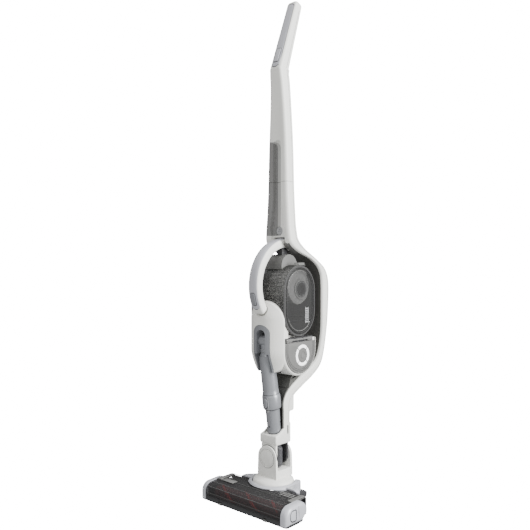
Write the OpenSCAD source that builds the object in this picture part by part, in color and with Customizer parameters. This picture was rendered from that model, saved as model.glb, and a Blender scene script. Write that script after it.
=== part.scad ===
// Cordless stick vacuum: floor head, steering neck, open bowed frame and a removable hand vacuum.
// Millimetres, +Z up, front of the machine towards -Y. The origin is at the bottom centre.
// Shapes are drawn about the neck's vertical axis and moved into place by at_neck().

/* [Floor head] */
// Overall width of the floor head
head_w = 256; // [248:1:262]
// Distance from the neck axis to the front of the floor head
head_front = 107; // [105:0.5:108]
// Thickness of each end cap
cap_t = 16; // [14:0.5:18]
// Height of the top cover
head_h = 43; // [42.5:0.1:43.5]
// Radius over the bristles of the brush roll
bristle_r = 18; // [16:0.5:18]
// Radius of the rear wheels
wheel_r = 11; // [10:0.5:11.5]

/* [Neck] */
// Height of the tilt axis above the floor
tilt_z = 32; // [31.5:0.1:32.5]
// Height of the steering axis above the floor
steer_z = 102; // [101:0.5:103]
// Radius of the tilting dome
dome_r = 48.8; // [48:0.1:48.9]
// Radius of the rounded fork ears
ear_r = 27; // [25:0.5:27.5]

/* [Frame] */
// Half width of the frame at the neck
frame_hw = 25; // [24:0.5:26]
// Half width of the frame beside the hand vacuum
bow_hw = 39.5; // [35:0.5:40]
// Height of the bend where the handle starts
bend_z = 986; // [980:1:992]
// Lean of the handle, degrees back from vertical
handle_lean = 20; // [19:0.5:21]

/* [Hand vacuum] */
// Half width of the hand vacuum
vac_hw = 50; // [48:0.5:52]
// Radius of the round ends of the dust bowl
bowl_r = 56; // [54:0.5:56]
// Outer radius of the loop handle
loop_r = 108; // [106:0.5:108]
// Depth of the loop handle's section
loop_t = 21.5; // [18:0.5:22]
// Outer radius of the wand
wand_r = 18.4; // [17.5:0.1:18.6]
// Length of the wand from its pivot to its foot
wand_l = 211.3; // [209:0.1:211.3]
// Lean of the stowed wand, degrees
wand_lean = 8.8; // [8.7:0.05:8.9]

/* [Hidden] */
$fn = 64;
// the neck axis stands this far from the middle of the whole object
neck_y = -28.9;
// clearances
run_gap = 0.06;
slide_gap = 0.5;
wall = 3;

// floor head
head_hw = head_w / 2;
core_hw = head_hw - cap_t - 0.2;
tray_z = 3;
head_rear = 20;
corner_r = 20;
nose_r = 19;
cover_t = 2.2;
brush_y = -head_front + 27;
brush_z = bristle_r + 0.5;
core_r = 11;
tufts = 20;
tuft_turn = 24;
bearing_r = 8;
shaft_r = 3;
motor_y = -46.9;
motor_z = 20;
belt_x = -100.5;
belt_w = 6;
brush_pulley_r = 9;
motor_pulley_r = 5;
belt_t = 1.5;
wheel_y = 48;
wheel_x = 36.5;
wheel_w = 10;
axle_r = 2.5;
screw_spots = [[-38, -50], [38, -50], [80, -50], [80, -30]];
tilt_pin_r = 6;
button_y = -82;
button_z = 22;

// neck and yoke
fork_hw = 28;
fork_front = -23;
fork_rear = 34;
lug_front = -17.3;
lug_rear = 27;
lug_t = 5.8;
pin_r = 7;
hose_y = 5;
hose_r = 13;
cuff_r = 15;

// wand
wand_room_hw = 20.2;
knuckle_room_hw = 12.6;
knuckle_room_r = 15;
shoulder_sweep_r = 35;
shoulder_hub_r = 27;
pivot_y = -28;
pivot_z = 366;
ext_r = 16.5;
collar_r = 21.5;
collar_w = [124, 156];
seat_w = wand_l + 1.9;
gasket_t = 1.5;

// hand vacuum
bowl_y = 35;
bowl_top = 480;
bowl_low = 430;
belly_y = 36.5;
belly_z = 345;
belly_r = 60.5;
panel_r = 54.5;
panel_t = 4;
panel_top = 362;
ring_y = 43;
ring_z = 331;
ring_out = 24;
ring_in = 17;
button_r = 16;
loop_y = 37;
loop_z = 490;
loop_hw = 15;
switch_angle = 195.5;
shroud_y = 42;
shroud_z = 487;
shroud_r = 40;
back_x = -18;
hinge_x = 48.5;
hinge_z = 369;
release_z = 615;
socket_z = 690;
yoke_rear = 33;
stick_rear = 43.5;
handle_front = 6;
socket_r = 2.8;
groove_hw = 11;

// Stations along the frame from the yoke to the tip of the handle:
// front y, front z, rear y, rear z.
lean = tan(handle_lean);
tip_rise = 166;
stations = [
    [5, 152, yoke_rear, 152], [5, 200, yoke_rear, 196], [6, 228, 34.5, 214], [24, 254, 49, 236],
    [55, 274, 76, 253], [93, 295, 107, 271], [119, 322, 137, 303], [131, 373, 153.5, 371],
    [133, 440, 162, 430], [132, 500, 164, 492], [120, 529, 150.5, 526], [90, 550, 117, 550],
    [48, 565, 73, 575], [18, 582, 49, 596], [10.5, 604, stick_rear, 618], [10.5, 660, stick_rear, 660],
    [10.5, 727, stick_rear, 727], [10.5, 860, stick_rear - 0.5, 860], [8, 940, stick_rear - 2, 938],
    [4, bend_z - 8, stick_rear - 3, bend_z - 20], [handle_front, bend_z + 9, stick_rear - 3, bend_z - 1],
    [handle_front + 70 * lean, bend_z + 79, 37 + 70 * lean, bend_z + 70],
    [handle_front + tip_rise * lean, bend_z + 9 + tip_rise, 32 + tip_rise * lean, bend_z + 1 + tip_rise]
];
// Half width of the frame by height: z, half width
widths = [
    [140, frame_hw], [200, frame_hw], [237, frame_hw], [254, frame_hw + 3], [274, frame_hw + 5],
    [295, bow_hw - 4.5], [320, bow_hw - 1.5], [380, bow_hw], [480, bow_hw], [560, bow_hw],
    [597, bow_hw], [636, 35.5], [707, 31], [804, 28], [896, 23], [966, 19], [bend_z, 18],
    [1060, 17.2], [1120, 16], [1150, 14.4], [1170, 14]
];

function blend4(a, b, c, d, u) =
    0.5 * (2 * b + (c - a) * u + (2 * a - 5 * b + 4 * c - d) * u * u
    + (3 * b - a - 3 * c + d) * u * u * u);
function along(list, t) =
    let (n = len(list) - 1, i = min(floor(t), n - 1), u = t - i)
    blend4(list[max(i - 1, 0)], list[i], list[i + 1], list[min(i + 2, n)], u);
function rib(t, f) =
    let (s = along(stations, t)) [s[0] * (1 - f) + s[2] * f, s[1] * (1 - f) + s[3] * f];
function arc(cx, cy, rx, ry, a0, a1, n) =
    [for (i = [0:n]) let (a = a0 + (a1 - a0) * i / n) [cx + rx * cos(a), cy + ry * sin(a)]];

module at_neck() { translate([0, neck_y, 0]) children(); }
module at_wand() { translate([0, pivot_y, pivot_z]) rotate([wand_lean, 0, 0]) children(); }
module at_handle() { translate([0, handle_front, bend_z + 9]) rotate([-handle_lean, 0, 0]) children(); }
// a y-z outline pushed along X, an x-z outline along Y, and an x-y outline along Z
module along_x(x0, x1) {
    translate([x0, 0, 0]) rotate([90, 0, 90]) linear_extrude(x1 - x0) children();
}
module along_y(y0, y1) { translate([0, y1, 0]) rotate([90, 0, 0]) linear_extrude(y1 - y0) children(); }
module along_z(z0, z1) { translate([0, 0, z0]) linear_extrude(z1 - z0) children(); }
module rod_x(r, x0, x1, y, z) { translate([x0, y, z]) rotate([0, 90, 0]) cylinder(r = r, h = x1 - x0); }
module rod_y(r, y0, y1, x, z) { translate([x, y1, z]) rotate([90, 0, 0]) cylinder(r = r, h = y1 - y0); }
module rod_z(r, z0, z1, x, y) { translate([x, y, z0]) cylinder(r = r, h = z1 - z0); }
module block(x0, x1, y0, y1, z0, z1) { translate([x0, y0, z0]) cube([x1 - x0, y1 - y0, z1 - z0]); }
module both_sides() {
    children();
    mirror([1, 0, 0]) children();
}

// ---------------------------------------------------------------- floor head
module head_profile(inset) {
    polygon(concat(
        [[-head_front + inset, 0]],
        arc(-head_front + nose_r, 22, nose_r - inset, 18 - inset, 180, 90, 12),
        [[-45, head_h - inset], [0, head_h - inset], [0, 0]]));
}
module head_plan(inset) {
    h = head_hw - inset;
    f = -head_front + inset;
    r = -35 - inset;
    polygon(concat(
        arc(-h + 6, f + 6, 6, 6, 180, 270, 6), arc(h - 6, f + 6, 6, 6, 270, 360, 6),
        arc(h - corner_r, r - corner_r, corner_r, corner_r, 0, 90, 10),
        [[94 - inset, -head_rear - inset], [-94 + inset, -head_rear - inset]],
        arc(-h + corner_r, r - corner_r, corner_r, corner_r, 90, 180, 10)));
}
module head_envelope(inset, z0) {
    intersection() {
        along_z(z0, head_h + 5) head_plan(inset);
        along_x(-head_hw, head_hw) head_profile(inset);
    }
}
module brush_slot(z0, z1) { block(-103, 103, brush_y - 19, brush_y + 19, z0, z1); }
module dome_clearance() { translate([0, 0, tilt_z]) sphere(r = dome_r + 0.8); }
module tyre(x0, x1) {
    difference() {
        rod_x(wheel_r, x0, x1, wheel_y, wheel_r);
        rod_x(axle_r + run_gap, x0 - 1, x1 + 1, wheel_y, wheel_r);
    }
}

module head_base() {
    color("dimgray") at_neck() difference() {
        intersection() {
            head_envelope(cover_t + 0.2, tray_z);
            block(-core_hw, core_hw, -200, 0, tray_z, 39.5);
        }
        difference() {
            intersection() {
                head_envelope(cover_t + wall, tray_z + wall);
                block(-core_hw + wall, core_hw - wall, -200, 0, tray_z, 60);
            }
            // the wall behind the brush chamber, with its suction mouth
            difference() {
                block(-94, 106, brush_y + 20.4, brush_y + 22, 0, 36);
                block(-30, 30, brush_y + 19, brush_y + 27, 9, 30);
            }
            for (p = screw_spots) rod_z(4, 0, 18, p[0], p[1]);
        }
        block(-200, 200, -200, -head_front + 9, 12, 60);
        block(-core_hw + wall, core_hw - wall, -200, brush_y + 20, 12, 60);
        block(-core_hw + wall, core_hw - wall, -200, -head_rear - 6, 36.5, 60);
        brush_slot(-1, tray_z + wall + 1);
        both_sides() rod_x(bearing_r, core_hw - wall - 1, core_hw + 1, brush_y, brush_z);
        for (p = screw_spots) rod_z(1.5, 0, 20, p[0], p[1]);
        block(-44, 44, -head_rear - 4, 0, 20, 60);
        both_sides() roller_pocket(0.5);
        dome_clearance();
    }
}
module sole_plate() {
    color("black") at_neck() difference() {
        union() {
            along_z(1.5, tray_z) head_plan(2);
            both_sides() block(head_hw - 16, head_hw - 3, -98, -62, 0, 2);
        }
        brush_slot(-1, 5);
        for (p = screw_spots) rod_z(3.2, 0, 4, p[0], p[1]);
        both_sides() roller_pocket(0.5);
    }
}
module roller_pocket(gap) { block(62 - gap, 72 + gap, -head_front, -head_front + 6.5, -1, 8); }
module head_cover() {
    color([0.3, 0.3, 0.3, 0.6]) at_neck() difference() {
        intersection() {
            head_envelope(0, 12.2);
            block(-core_hw, core_hw, -200, -head_rear, 0, 60);
        }
        along_x(-head_hw, head_hw) head_profile(cover_t);
        dome_clearance();
    }
}
module end_cap(left) {
    difference() {
        union() {
            difference() {
                intersection() {
                    head_envelope(0, tray_z);
                    block(core_hw, head_hw + 1, -200, 0, 0, 60);
                }
                block(core_hw - 1, head_hw - 6, -head_front + 8, -44, 8, 34);
            }
            // boss that carries the brush bearing
            rod_x(bearing_r + 3, core_hw, head_hw - 6, brush_y, brush_z);
        }
        rod_x(bearing_r, core_hw - 1, core_hw + 3, brush_y, brush_z);
        if (!left)
            block(head_hw - 10.5, head_hw + 1, button_y - 11, button_y + 8, button_z - 8, button_z + 8);
    }
}
module end_cap_left() { color("silver") at_neck() mirror([1, 0, 0]) end_cap(true); }
module end_cap_right() { color("silver") at_neck() end_cap(false); }
module brush_bearings() {
    color("gray") at_neck() both_sides() difference() {
        rod_x(bearing_r, core_hw - wall, core_hw + 3, brush_y, brush_z);
        rod_x(shaft_r + run_gap, core_hw - wall - 1, core_hw + 4, brush_y, brush_z);
    }
}
module brush_motor() {
    color("darkgray") at_neck() difference() {
        union() {
            rod_x(11, -92, -46, motor_y, motor_z);
            block(-90, -48, motor_y - 6, motor_y + 6, tray_z + wall, motor_z);
        }
        rod_x(2 + run_gap, -93, -70, motor_y, motor_z);
    }
}
module motor_pulley() {
    color("white") at_neck() union() {
        rod_x(motor_pulley_r, belt_x - 3, belt_x + 3, motor_y, motor_z);
        rod_x(2, belt_x, -71, motor_y, motor_z);
    }
}
module drive_belt() {
    color("black") at_neck() along_x(belt_x - belt_w / 2 + 0.5, belt_x + belt_w / 2 - 0.5) difference() {
        belt_line(belt_t);
        belt_line(0);
    }
}
module belt_line(grow) {
    hull() {
        translate([brush_y, brush_z]) circle(r = brush_pulley_r + 0.1 + grow);
        translate([motor_y, motor_z]) circle(r = motor_pulley_r + 0.1 + grow);
    }
}
module brush_core() {
    color("dimgray") at_neck() union() {
        rod_x(core_r, belt_x + 4, 104, brush_y, brush_z);
        rod_x(brush_pulley_r, belt_x - 3, belt_x + 4, brush_y, brush_z);
        rod_x(shaft_r, -core_hw - 2.5, core_hw + 2.5, brush_y, brush_z);
    }
}
module brush_bristles() {
    // two spiral rows of tufts, set into the core
    color("darkred") at_neck() for (i = [0:tufts - 1], a = [0, 180])
        translate([-92 + 184 * i / (tufts - 1), brush_y, brush_z]) rotate([i * tuft_turn + a, 0, 0])
            block(-3.4, 3.4, -1.6, 1.6, core_r + 0.01, bristle_r - 0.1);
}
module front_rollers() {
    color("gray") at_neck() both_sides() rod_x(2.9, 62.5, 71.5, -head_front + 3.2, 2.9);
}
module brush_release_button() {
    color("silver") at_neck()
        block(head_hw - 7.5, head_hw - 0.4, button_y - 10.5, button_y + 7.5, button_z - 7.5, button_z + 7.5);
}
module head_screws() {
    color("gray") at_neck() for (p = screw_spots) {
        rod_z(1.5, 2.9, 18, p[0], p[1]);
        rod_z(3, 1.6, tray_z, p[0], p[1]);
    }
}
module saddle() {
    color("silver") at_neck() difference() {
        union() {
            // collar in front of the dome
            rod_z(54, head_h + 0.3, 47, 0, 0);
            // shoulders and foot behind the head
            both_sides() along_z(5, 43.3) polygon([[44, -19.5], [84, -19.5], [84, -9], [49, 30], [44, 30]]);
            both_sides() block(48, 62, -40, 2, head_h + 0.3, 46);
            block(-84, 84, -19.5, 14, 5, 14);
            // arms for the rear wheels
            both_sides() along_x(47, 52.5)
                polygon([[20, 5], [wheel_y, 5], [wheel_y + 5, 9], [wheel_y + 4, 16], [30, 24], [20, 24]]);
        }
        dome_clearance();
        translate([0, 0, -1]) block(-47.2, 47.2, 0, 60, 15.2, 60);
        both_sides() rod_x(tilt_pin_r, 45, 62, 0, tilt_z);
        both_sides() rod_x(axle_r, 46, 50.5, wheel_y, wheel_r);
    }
}
module tilt_pins() { color("gray") at_neck() both_sides() rod_x(tilt_pin_r, 39, 60, 0, tilt_z); }
module wheel_axles() {
    color("gray") at_neck() both_sides() {
        rod_x(axle_r, wheel_x - 2, 50.5, wheel_y, wheel_r);
        rod_x(4, wheel_x - 2, wheel_x - 0.3, wheel_y, wheel_r);
    }
}
module rear_wheel_left() { color("black") at_neck() tyre(-wheel_x - wheel_w, -wheel_x); }
module rear_wheel_right() { color("black") at_neck() tyre(wheel_x, wheel_x + wheel_w); }

// ---------------------------------------------------------------- neck
module neck_fork() {
    color("ivory") at_neck() difference() {
        union() {
            block(-fork_hw, fork_hw, fork_front, fork_rear, 58, 75);
            for (y = [[fork_front, lug_front - 0.4], [lug_rear + 0.4, fork_rear]]) {
                rod_y(ear_r, y[0], y[1], 0, steer_z);
                block(-ear_r, ear_r, y[0], y[1], 74, steer_z);
            }
        }
        rod_y(pin_r, fork_front - 1, fork_rear + 1, 0, steer_z);
        rod_z(hose_r + 0.5, 50, 80, 0, hose_y);
    }
}
module tilt_dome() {
    color("ivory") at_neck() difference() {
        union() {
            intersection() {
                translate([0, 0, tilt_z]) sphere(r = dome_r);
                union() {
                    rod_z(60, 40, 51, 0, 0);
                    both_sides() block(38, 46, -12, 12, 20, 45);
                }
            }
            translate([0, 0, 51]) cylinder(r1 = 44.5, r2 = 36, h = 7);
        }
        translate([0, 0, 30]) cylinder(r = 36, h = 20);
        rod_z(hose_r + 0.5, 30, 60, 0, hose_y);
        block(-60, 60, 36, 60, 0, 60);
        rod_x(tilt_pin_r + run_gap, -60, 60, 0, tilt_z);
    }
}
module steering_pins() {
    color("gray") at_neck() {
        rod_y(pin_r, fork_front, lug_front + lug_t, 0, steer_z);
        rod_y(pin_r, lug_rear - lug_t, fork_rear, 0, steer_z);
    }
}
module pivot_cap() { color("ivory") at_neck() rod_y(20, fork_front - 2.5, fork_front, 0, steer_z - 2); }
module neck_hose() {
    color("dimgray") at_neck() difference() {
        union() {
            rod_z(hose_r - 1.2, 59, 127.5, 0, hose_y);
            for (i = [0:8]) rod_z(hose_r, 78 + i * 5, 80.5 + i * 5, 0, hose_y);
        }
        rod_z(hose_r - 2.6, 50, 130, 0, hose_y);
    }
}

// ---------------------------------------------------------------- frame
module hose_cuff() {
    color("lightgray") at_neck() difference() {
        rod_z(cuff_r, 128, 142, 0, hose_y);
        rod_z(hose_r - 2.6, 127, 143, 0, hose_y);
    }
}
module frame_yoke() {
    color("ivory") at_neck() difference() {
        union() {
            block(-frame_hw, frame_hw, -20, yoke_rear, 132, 152);
            block(-frame_hw, frame_hw, -20, 5, 152, 156);
            for (y = [lug_front, lug_rear - lug_t]) {
                rod_y(22, y, y + lug_t, 0, steer_z);
                block(-22, 22, y, y + lug_t, steer_z, 133);
            }
        }
        rod_y(pin_r + run_gap, -30, 40, 0, steer_z);
        rod_z(cuff_r, 100, 142, 0, hose_y);
        rod_z(hose_r - 2.6, 100, 170, 0, hose_y);
        at_wand() block(-20.4, 20.4, -60, 18.6, -seat_w, -180);
    }
}
module seat_gasket() {
    color("black") at_neck() at_wand() difference() {
        translate([0, 0, -seat_w]) cylinder(r = ext_r, h = gasket_t);
        translate([0, 0, -seat_w - 1]) cylinder(r = 12.5, h = gasket_t + 2);
    }
}
module frame_front(inset) {
    polygon(concat(
        [for (t = [0:0.5:20]) let (w = along(widths, t)) [w[1] - inset, w[0]]],
        [for (t = [20:-0.5:0]) let (w = along(widths, t)) [inset - w[1], w[0]]]));
}
module band(t0, t1, f0, f1) {
    along_x(-60, 60) polygon(concat(
        [for (t = [t0:0.25:t1]) rib(t, f0)], [for (t = [t1:-0.25:t0]) rib(t, f1)]));
}
module frame_piece(t0, t1, f0, f1, inset) {
    intersection() {
        band(t0, t1, f0, f1);
        along_y(-40, 200) frame_front(inset);
    }
}
// room for the stowed wand in the lower spine and for the loop handle under the stick
module wand_channel() { block(-20.5, 20.5, -60, 22.5, 140, 262); }
module loop_pocket() { block(-16.5, 16.5, -60, 42, 540, 600.5); }
module groove(grow) {
    rod_y(groove_hw + grow, -10, 22 + grow, 0, 811);
    block(-groove_hw - grow, groove_hw + grow, -10, 22 + grow, 600.5 - grow, 811);
}
module front_shell(t0, t1) {
    difference() {
        union() {
            difference() {
                frame_piece(t0, t1, 0, 0.65, 0);
                frame_piece(t0, t1, 0.13, 0.7, wall);
            }
            intersection() {
                frame_piece(t0, t1, 0, 0.65, 0);
                groove(wall);
            }
        }
        groove(0);
        loop_pocket();
        rod_y(10.1, 0, 60, 0, release_z);
    }
}
module rear_shell(t0, t1) {
    difference() {
        frame_piece(t0, t1, 0.65, 1, 0);
        frame_piece(t0, t1, 0.6, 0.88, wall);
        wand_channel();
        loop_pocket();
        rod_y(6, 20, 60, 0, socket_z);
    }
}
module spine_inner_shell() {
    color("dimgray") at_neck() difference() {
        frame_piece(0, 14, 0, 0.65, 0);
        frame_piece(0, 14, 0.13, 0.7, wall);
        wand_channel();
        loop_pocket();
    }
}
module spine_rear_shell() {
    color("ivory") at_neck() union() {
        rear_shell(0, 14);
        // hook for the storage bracket
        block(-15, 15, 30.5, 46, 201, 214);
        block(-15, 15, yoke_rear, yoke_rear + 3.5, 199, 214);
    }
}
module stick_lower_shell() { color("ivory") at_neck() front_shell(14, 16); }
module stick_upper_shell() { color("ivory") at_neck() front_shell(16, 20); }
module stick_rear_shell() { color("ivory") at_neck() rear_shell(14, 20); }
module handle_shell() {
    color("ivory") at_neck() difference() {
        frame_piece(20, 22, 0, 1, 0);
        frame_piece(20, 21.9, 0.15, 0.88, wall);
        at_handle() block(-9.8, 9.8, -8, 3, -20, 160);
    }
}
module handle_grip() {
    color("silver") at_neck() difference() {
        at_handle() block(-9.8, 9.8, 0, 3, 0.5, 160);
        at_handle() block(-7, 7, -2, 4, 6, 50);
    }
}
module handle_switch() { color("silver") at_neck() at_handle() block(-6.5, 6.5, -1.6, 2.6, 8, 42); }
module charge_socket() {
    color("black") at_neck() difference() {
        rod_y(6, stick_rear - 12, stick_rear, 0, socket_z);
        rod_y(socket_r, stick_rear - 10, stick_rear + 1, 0, socket_z);
    }
}
module release_button() {
    color("silver") at_neck() rod_y(9.8, 20.4, 28, 0, release_z);
}

// ---------------------------------------------------------------- hand vacuum
module bowl_outline(r) {
    union() {
        translate([bowl_y, bowl_top]) circle(r = r);
        translate([bowl_y, bowl_low]) circle(r = r);
        translate([bowl_y - r, bowl_low]) square([2 * r, bowl_top - bowl_low]);
    }
}
module belly_outline(r, top) {
    union() {
        translate([belly_y, belly_z]) circle(r = r);
        translate([belly_y - r, belly_z]) square([2 * r, top - belly_z]);
    }
}
module loop_sector(r0, r1, a0, a1) {
    intersection() {
        difference() {
            translate([loop_y, loop_z]) circle(r = r1);
            translate([loop_y, loop_z]) circle(r = r0);
        }
        polygon(concat([[loop_y, loop_z]], arc(loop_y, loop_z, 140, 140, a0, a1, 12)));
    }
}
module shield(inset) {
    hw = vac_hw - inset;
    intersection() {
        along_z(290, 470) polygon(concat(
            [for (x = [-hw:hw / 10:hw]) [x, -45 + inset + 21 * (x / vac_hw) * (x / vac_hw)]],
            [[hw, -19], [-hw, -19]]));
        along_y(-60, 0) polygon(concat(
            arc(0, 410, hw, 46 - inset, 0, 180, 20),
            arc(-hw + 40, 345, 40, 42 - inset, 180, 270, 8), arc(hw - 40, 345, 40, 42 - inset, 270, 360, 8)));
    }
}
module recess_outer() { block(-24, 24, -60, 7, 280, 398); }
module recess_void() {
    at_wand() block(-wand_room_hw, wand_room_hw, -60, 19.9, -140, -26);
    block(-knuckle_room_hw, knuckle_room_hw, -60, -11, 338, 392);
    rod_x(knuckle_room_r, -knuckle_room_hw, knuckle_room_hw, pivot_y, pivot_z);
    // the tube's shoulder sweeps round the pin as the wand folds out
    intersection() {
        difference() {
            rod_x(shoulder_sweep_r, -19.2, 19.2, pivot_y, pivot_z);
            rod_x(shoulder_hub_r, -20, 20, pivot_y, pivot_z);
        }
        block(-20, 20, -80, pivot_y, 300, 420);
    }
}
module vac_envelope() {
    union() {
        along_x(-vac_hw, vac_hw) belly_outline(belly_r, 405);
        shield(0);
    }
}
module panel_outline() {
    intersection() {
        belly_outline(panel_r, 400);
        translate([-100, 200]) square([300, panel_top - 200]);
    }
}
module lower_housing() {
    color("ivory") at_neck() difference() {
        vac_envelope();
        along_x(-vac_hw + wall, vac_hw - panel_t) belly_outline(belly_r - wall, 405);
        intersection() {
            shield(wall);
            block(-60, 60, -60, -18, 290, 460);
        }
        along_x(-60, 60) bowl_outline(bowl_r + 0.02);
        along_x(vac_hw - panel_t, 60) panel_outline();
        along_x(-loop_hw, loop_hw) loop_sector(loop_r - loop_t, loop_r + 10, 190, 219);
        block(36, 60, 12, 58, panel_top, 390);
        recess_outer();
    }
}
module recess_frame() {
    color("silver") at_neck() difference() {
        intersection() {
            recess_outer();
            vac_envelope();
        }
        recess_void();
        along_x(-60, 60) bowl_outline(bowl_r + 0.02);
        rod_x(3, -20, 20, pivot_y, pivot_z);
    }
}
module knuckle_pin() { color("gray") at_neck() rod_x(3, -20, 20, pivot_y, pivot_z); }
module control_panel() {
    color("gray") at_neck() difference() {
        along_x(vac_hw - panel_t, vac_hw) panel_outline();
        rod_x(button_r + 0.3, 40, 60, ring_y, ring_z);
    }
}
module led_ring() {
    color("white") at_neck() difference() {
        rod_x(ring_out, vac_hw, vac_hw + 0.8, ring_y, ring_z);
        rod_x(ring_in, vac_hw - 1, vac_hw + 2, ring_y, ring_z);
        for (a = [45, 135]) translate([vac_hw, ring_y, ring_z]) rotate([a, 0, 0])
            block(-2, 3, -30, 30, -1, 1);
    }
}
module power_button() { color("gray") at_neck() rod_x(button_r, vac_hw - 5, vac_hw + 1.5, ring_y, ring_z); }
module battery_cells() {
    color("steelblue") at_neck() for (y = [22, 42, 62], z = [307, 326]) rod_x(9.2, -36, 29, y, z);
}
module vac_chassis() {
    color("dimgray") at_neck() difference() {
        along_x(-vac_hw, back_x) bowl_outline(bowl_r);
        along_x(-vac_hw + wall, back_x - 2) bowl_outline(bowl_r - wall);
        rod_x(26, -30, 0, shroud_y, shroud_z);
    }
}
module suction_motor() {
    color("gray") at_neck() difference() {
        rod_x(30, -vac_hw + wall, -34, shroud_y, shroud_z);
        rod_x(2 + run_gap, -46, -30, shroud_y, shroud_z);
    }
}
module impeller() {
    color("white") at_neck() union() {
        rod_x(27, -32, -24, shroud_y, shroud_z);
        rod_x(2, -45, -30, shroud_y, shroud_z);
    }
}
module motor_dome() {
    color("gray") at_neck() difference() {
        rod_x(28, -30, 22, 31, 533);
        rod_x(25.5, -27, 19, 31, 533);
        along_x(-60, 60) bowl_outline(bowl_r);
    }
}
module dust_bowl() {
    color([0.3, 0.3, 0.3, 0.5]) at_neck() union() {
        difference() {
            along_x(back_x, vac_hw - 4) bowl_outline(bowl_r);
            along_x(back_x + 2.2, vac_hw) bowl_outline(bowl_r - 2.2);
            rod_x(24, -30, 0, shroud_y, shroud_z);
        }
        // hinge ears under the bowl
        difference() {
            for (y = [17, 45.5]) {
                block(40, 46, y, y + 7.5, 366, 380);
                block(45.5, 51.5, y, y + 7.5, 366, 372.2);
            }
            along_x(30, 60) bowl_outline(bowl_r - 1);
            rod_y(1.5, 0, 80, hinge_x, hinge_z);
        }
    }
}
module door_hinge_pin() { color("silver") at_neck() rod_y(1.5, 15, 55, hinge_x, hinge_z); }
module bowl_door() {
    color([0.35, 0.35, 0.35, 0.5]) at_neck() difference() {
        union() {
            along_x(vac_hw - 3.9, vac_hw) bowl_outline(bowl_r);
            block(vac_hw - 3.9, vac_hw, 25, 45, hinge_z, 380);
            rod_y(3.2, 25, 45, hinge_x, hinge_z);
        }
        rod_y(1.5 + run_gap, 0, 80, hinge_x, hinge_z);
    }
}
module bowl_latch() {
    color("silver") at_neck() union() {
        block(38, 52, 27, 48, 537, 542);
        block(50.4, 52, 27, 48, 536.6, 542);
    }
}
module cyclone_shroud() {
    color([0.4, 0.4, 0.4, 0.8]) at_neck() difference() {
        rod_x(shroud_r, back_x + 2.2, 38, shroud_y, shroud_z);
        rod_x(shroud_r - 2, -30, 36, shroud_y, shroud_z);
        rod_x(13, 30, 50, 46, 481);
    }
}
module filter() {
    color("white") at_neck() difference() {
        rod_x(30, back_x + 2.2, 20, shroud_y, shroud_z);
        rod_x(22, -30, 17, shroud_y, shroud_z);
    }
}
module at_switch() {
    translate([0, loop_y, loop_z]) rotate([switch_angle - 180, 0, 0]) translate([0, -loop_r, 0]) children();
}
module loop_handle() {
    color("ivory") at_neck() difference() {
        union() {
            along_x(-loop_hw, loop_hw) loop_sector(loop_r - loop_t, loop_r, 88, 217);
            block(-9, 9, 22, 36, 545, 585);
        }
        rod_x(28, -31, 23, 31, 533);
        along_x(-60, 60) bowl_outline(bowl_r);
        along_x(-10.5, 10.5) loop_sector(loop_r - 2.5, loop_r + 5, 98, 208);
        at_switch() block(-7, 7, -5, 5.5, -16, 22);
    }
}
module loop_grip() {
    color("silver") at_neck() difference() {
        along_x(-10.5, 10.5) loop_sector(loop_r - 2.5, loop_r, 98, 208);
        at_switch() block(-7, 7, -5, 5.5, -16, 22);
    }
}
module hand_switch() { color("silver") at_neck() at_switch() block(-6.5, 6.5, -1, 3, -14, 13); }

// ---------------------------------------------------------------- wand
module wand_tube() {
    color("silver") at_neck() difference() {
        union() {
            rod_x(12, -12, 12, pivot_y, pivot_z);
            at_wand() {
                translate([0, 0, -30]) cylinder(r = 11, h = 28);
                translate([0, 0, -collar_w[1]]) cylinder(r = wand_r, h = collar_w[1] - 28);
                translate([0, 0, -collar_w[1]]) cylinder(r = collar_r, h = collar_w[1] - collar_w[0]);
            }
        }
        rod_x(3 + run_gap, -30, 30, pivot_y, pivot_z);
        at_wand() translate([0, 0, -200]) cylinder(r = ext_r + run_gap, h = 168);
        at_wand() block(-5.5, 5.5, -30, -18.6, -151, -127);
    }
}
module wand_extension() {
    color("silver") at_neck() at_wand() difference() {
        translate([0, 0, -wand_l]) cylinder(r = ext_r, h = 120);
        translate([0, 0, -wand_l - 1]) cylinder(r = ext_r - 2, h = 130);
        translate([0, 0, -197]) rotate([90, 0, 0]) cylinder(r = 1.8, h = 30);
    }
}
module wand_latch() { color("silver") at_neck() at_wand() block(-5, 5, -22.8, -20.8, -150.4, -127.6); }

head_base();
sole_plate();
head_cover();
end_cap_left();
end_cap_right();
brush_bearings();
brush_motor();
drive_belt();
saddle();
tilt_pins();
wheel_axles();
head_screws();
brush_core();
brush_bristles();
motor_pulley();
rear_wheel_left();
rear_wheel_right();
front_rollers();
brush_release_button();
neck_fork();
tilt_dome();
steering_pins();
pivot_cap();
neck_hose();
hose_cuff();
frame_yoke();
seat_gasket();
spine_inner_shell();
spine_rear_shell();
stick_lower_shell();
stick_upper_shell();
stick_rear_shell();
handle_shell();
handle_grip();
charge_socket();
handle_switch();
release_button();
vac_chassis();
lower_housing();
recess_frame();
loop_handle();
loop_grip();
control_panel();
led_ring();
suction_motor();
motor_dome();
battery_cells();
dust_bowl();
cyclone_shroud();
filter();
door_hinge_pin();
impeller();
hand_switch();
power_button();
bowl_door();
bowl_latch();
wand_tube();
knuckle_pin();
wand_extension();
wand_latch();
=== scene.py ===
"""Looks of the cordless stick vacuum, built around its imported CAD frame."""
import math

import bmesh
import bpy
from mathutils import Matrix, Vector


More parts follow.
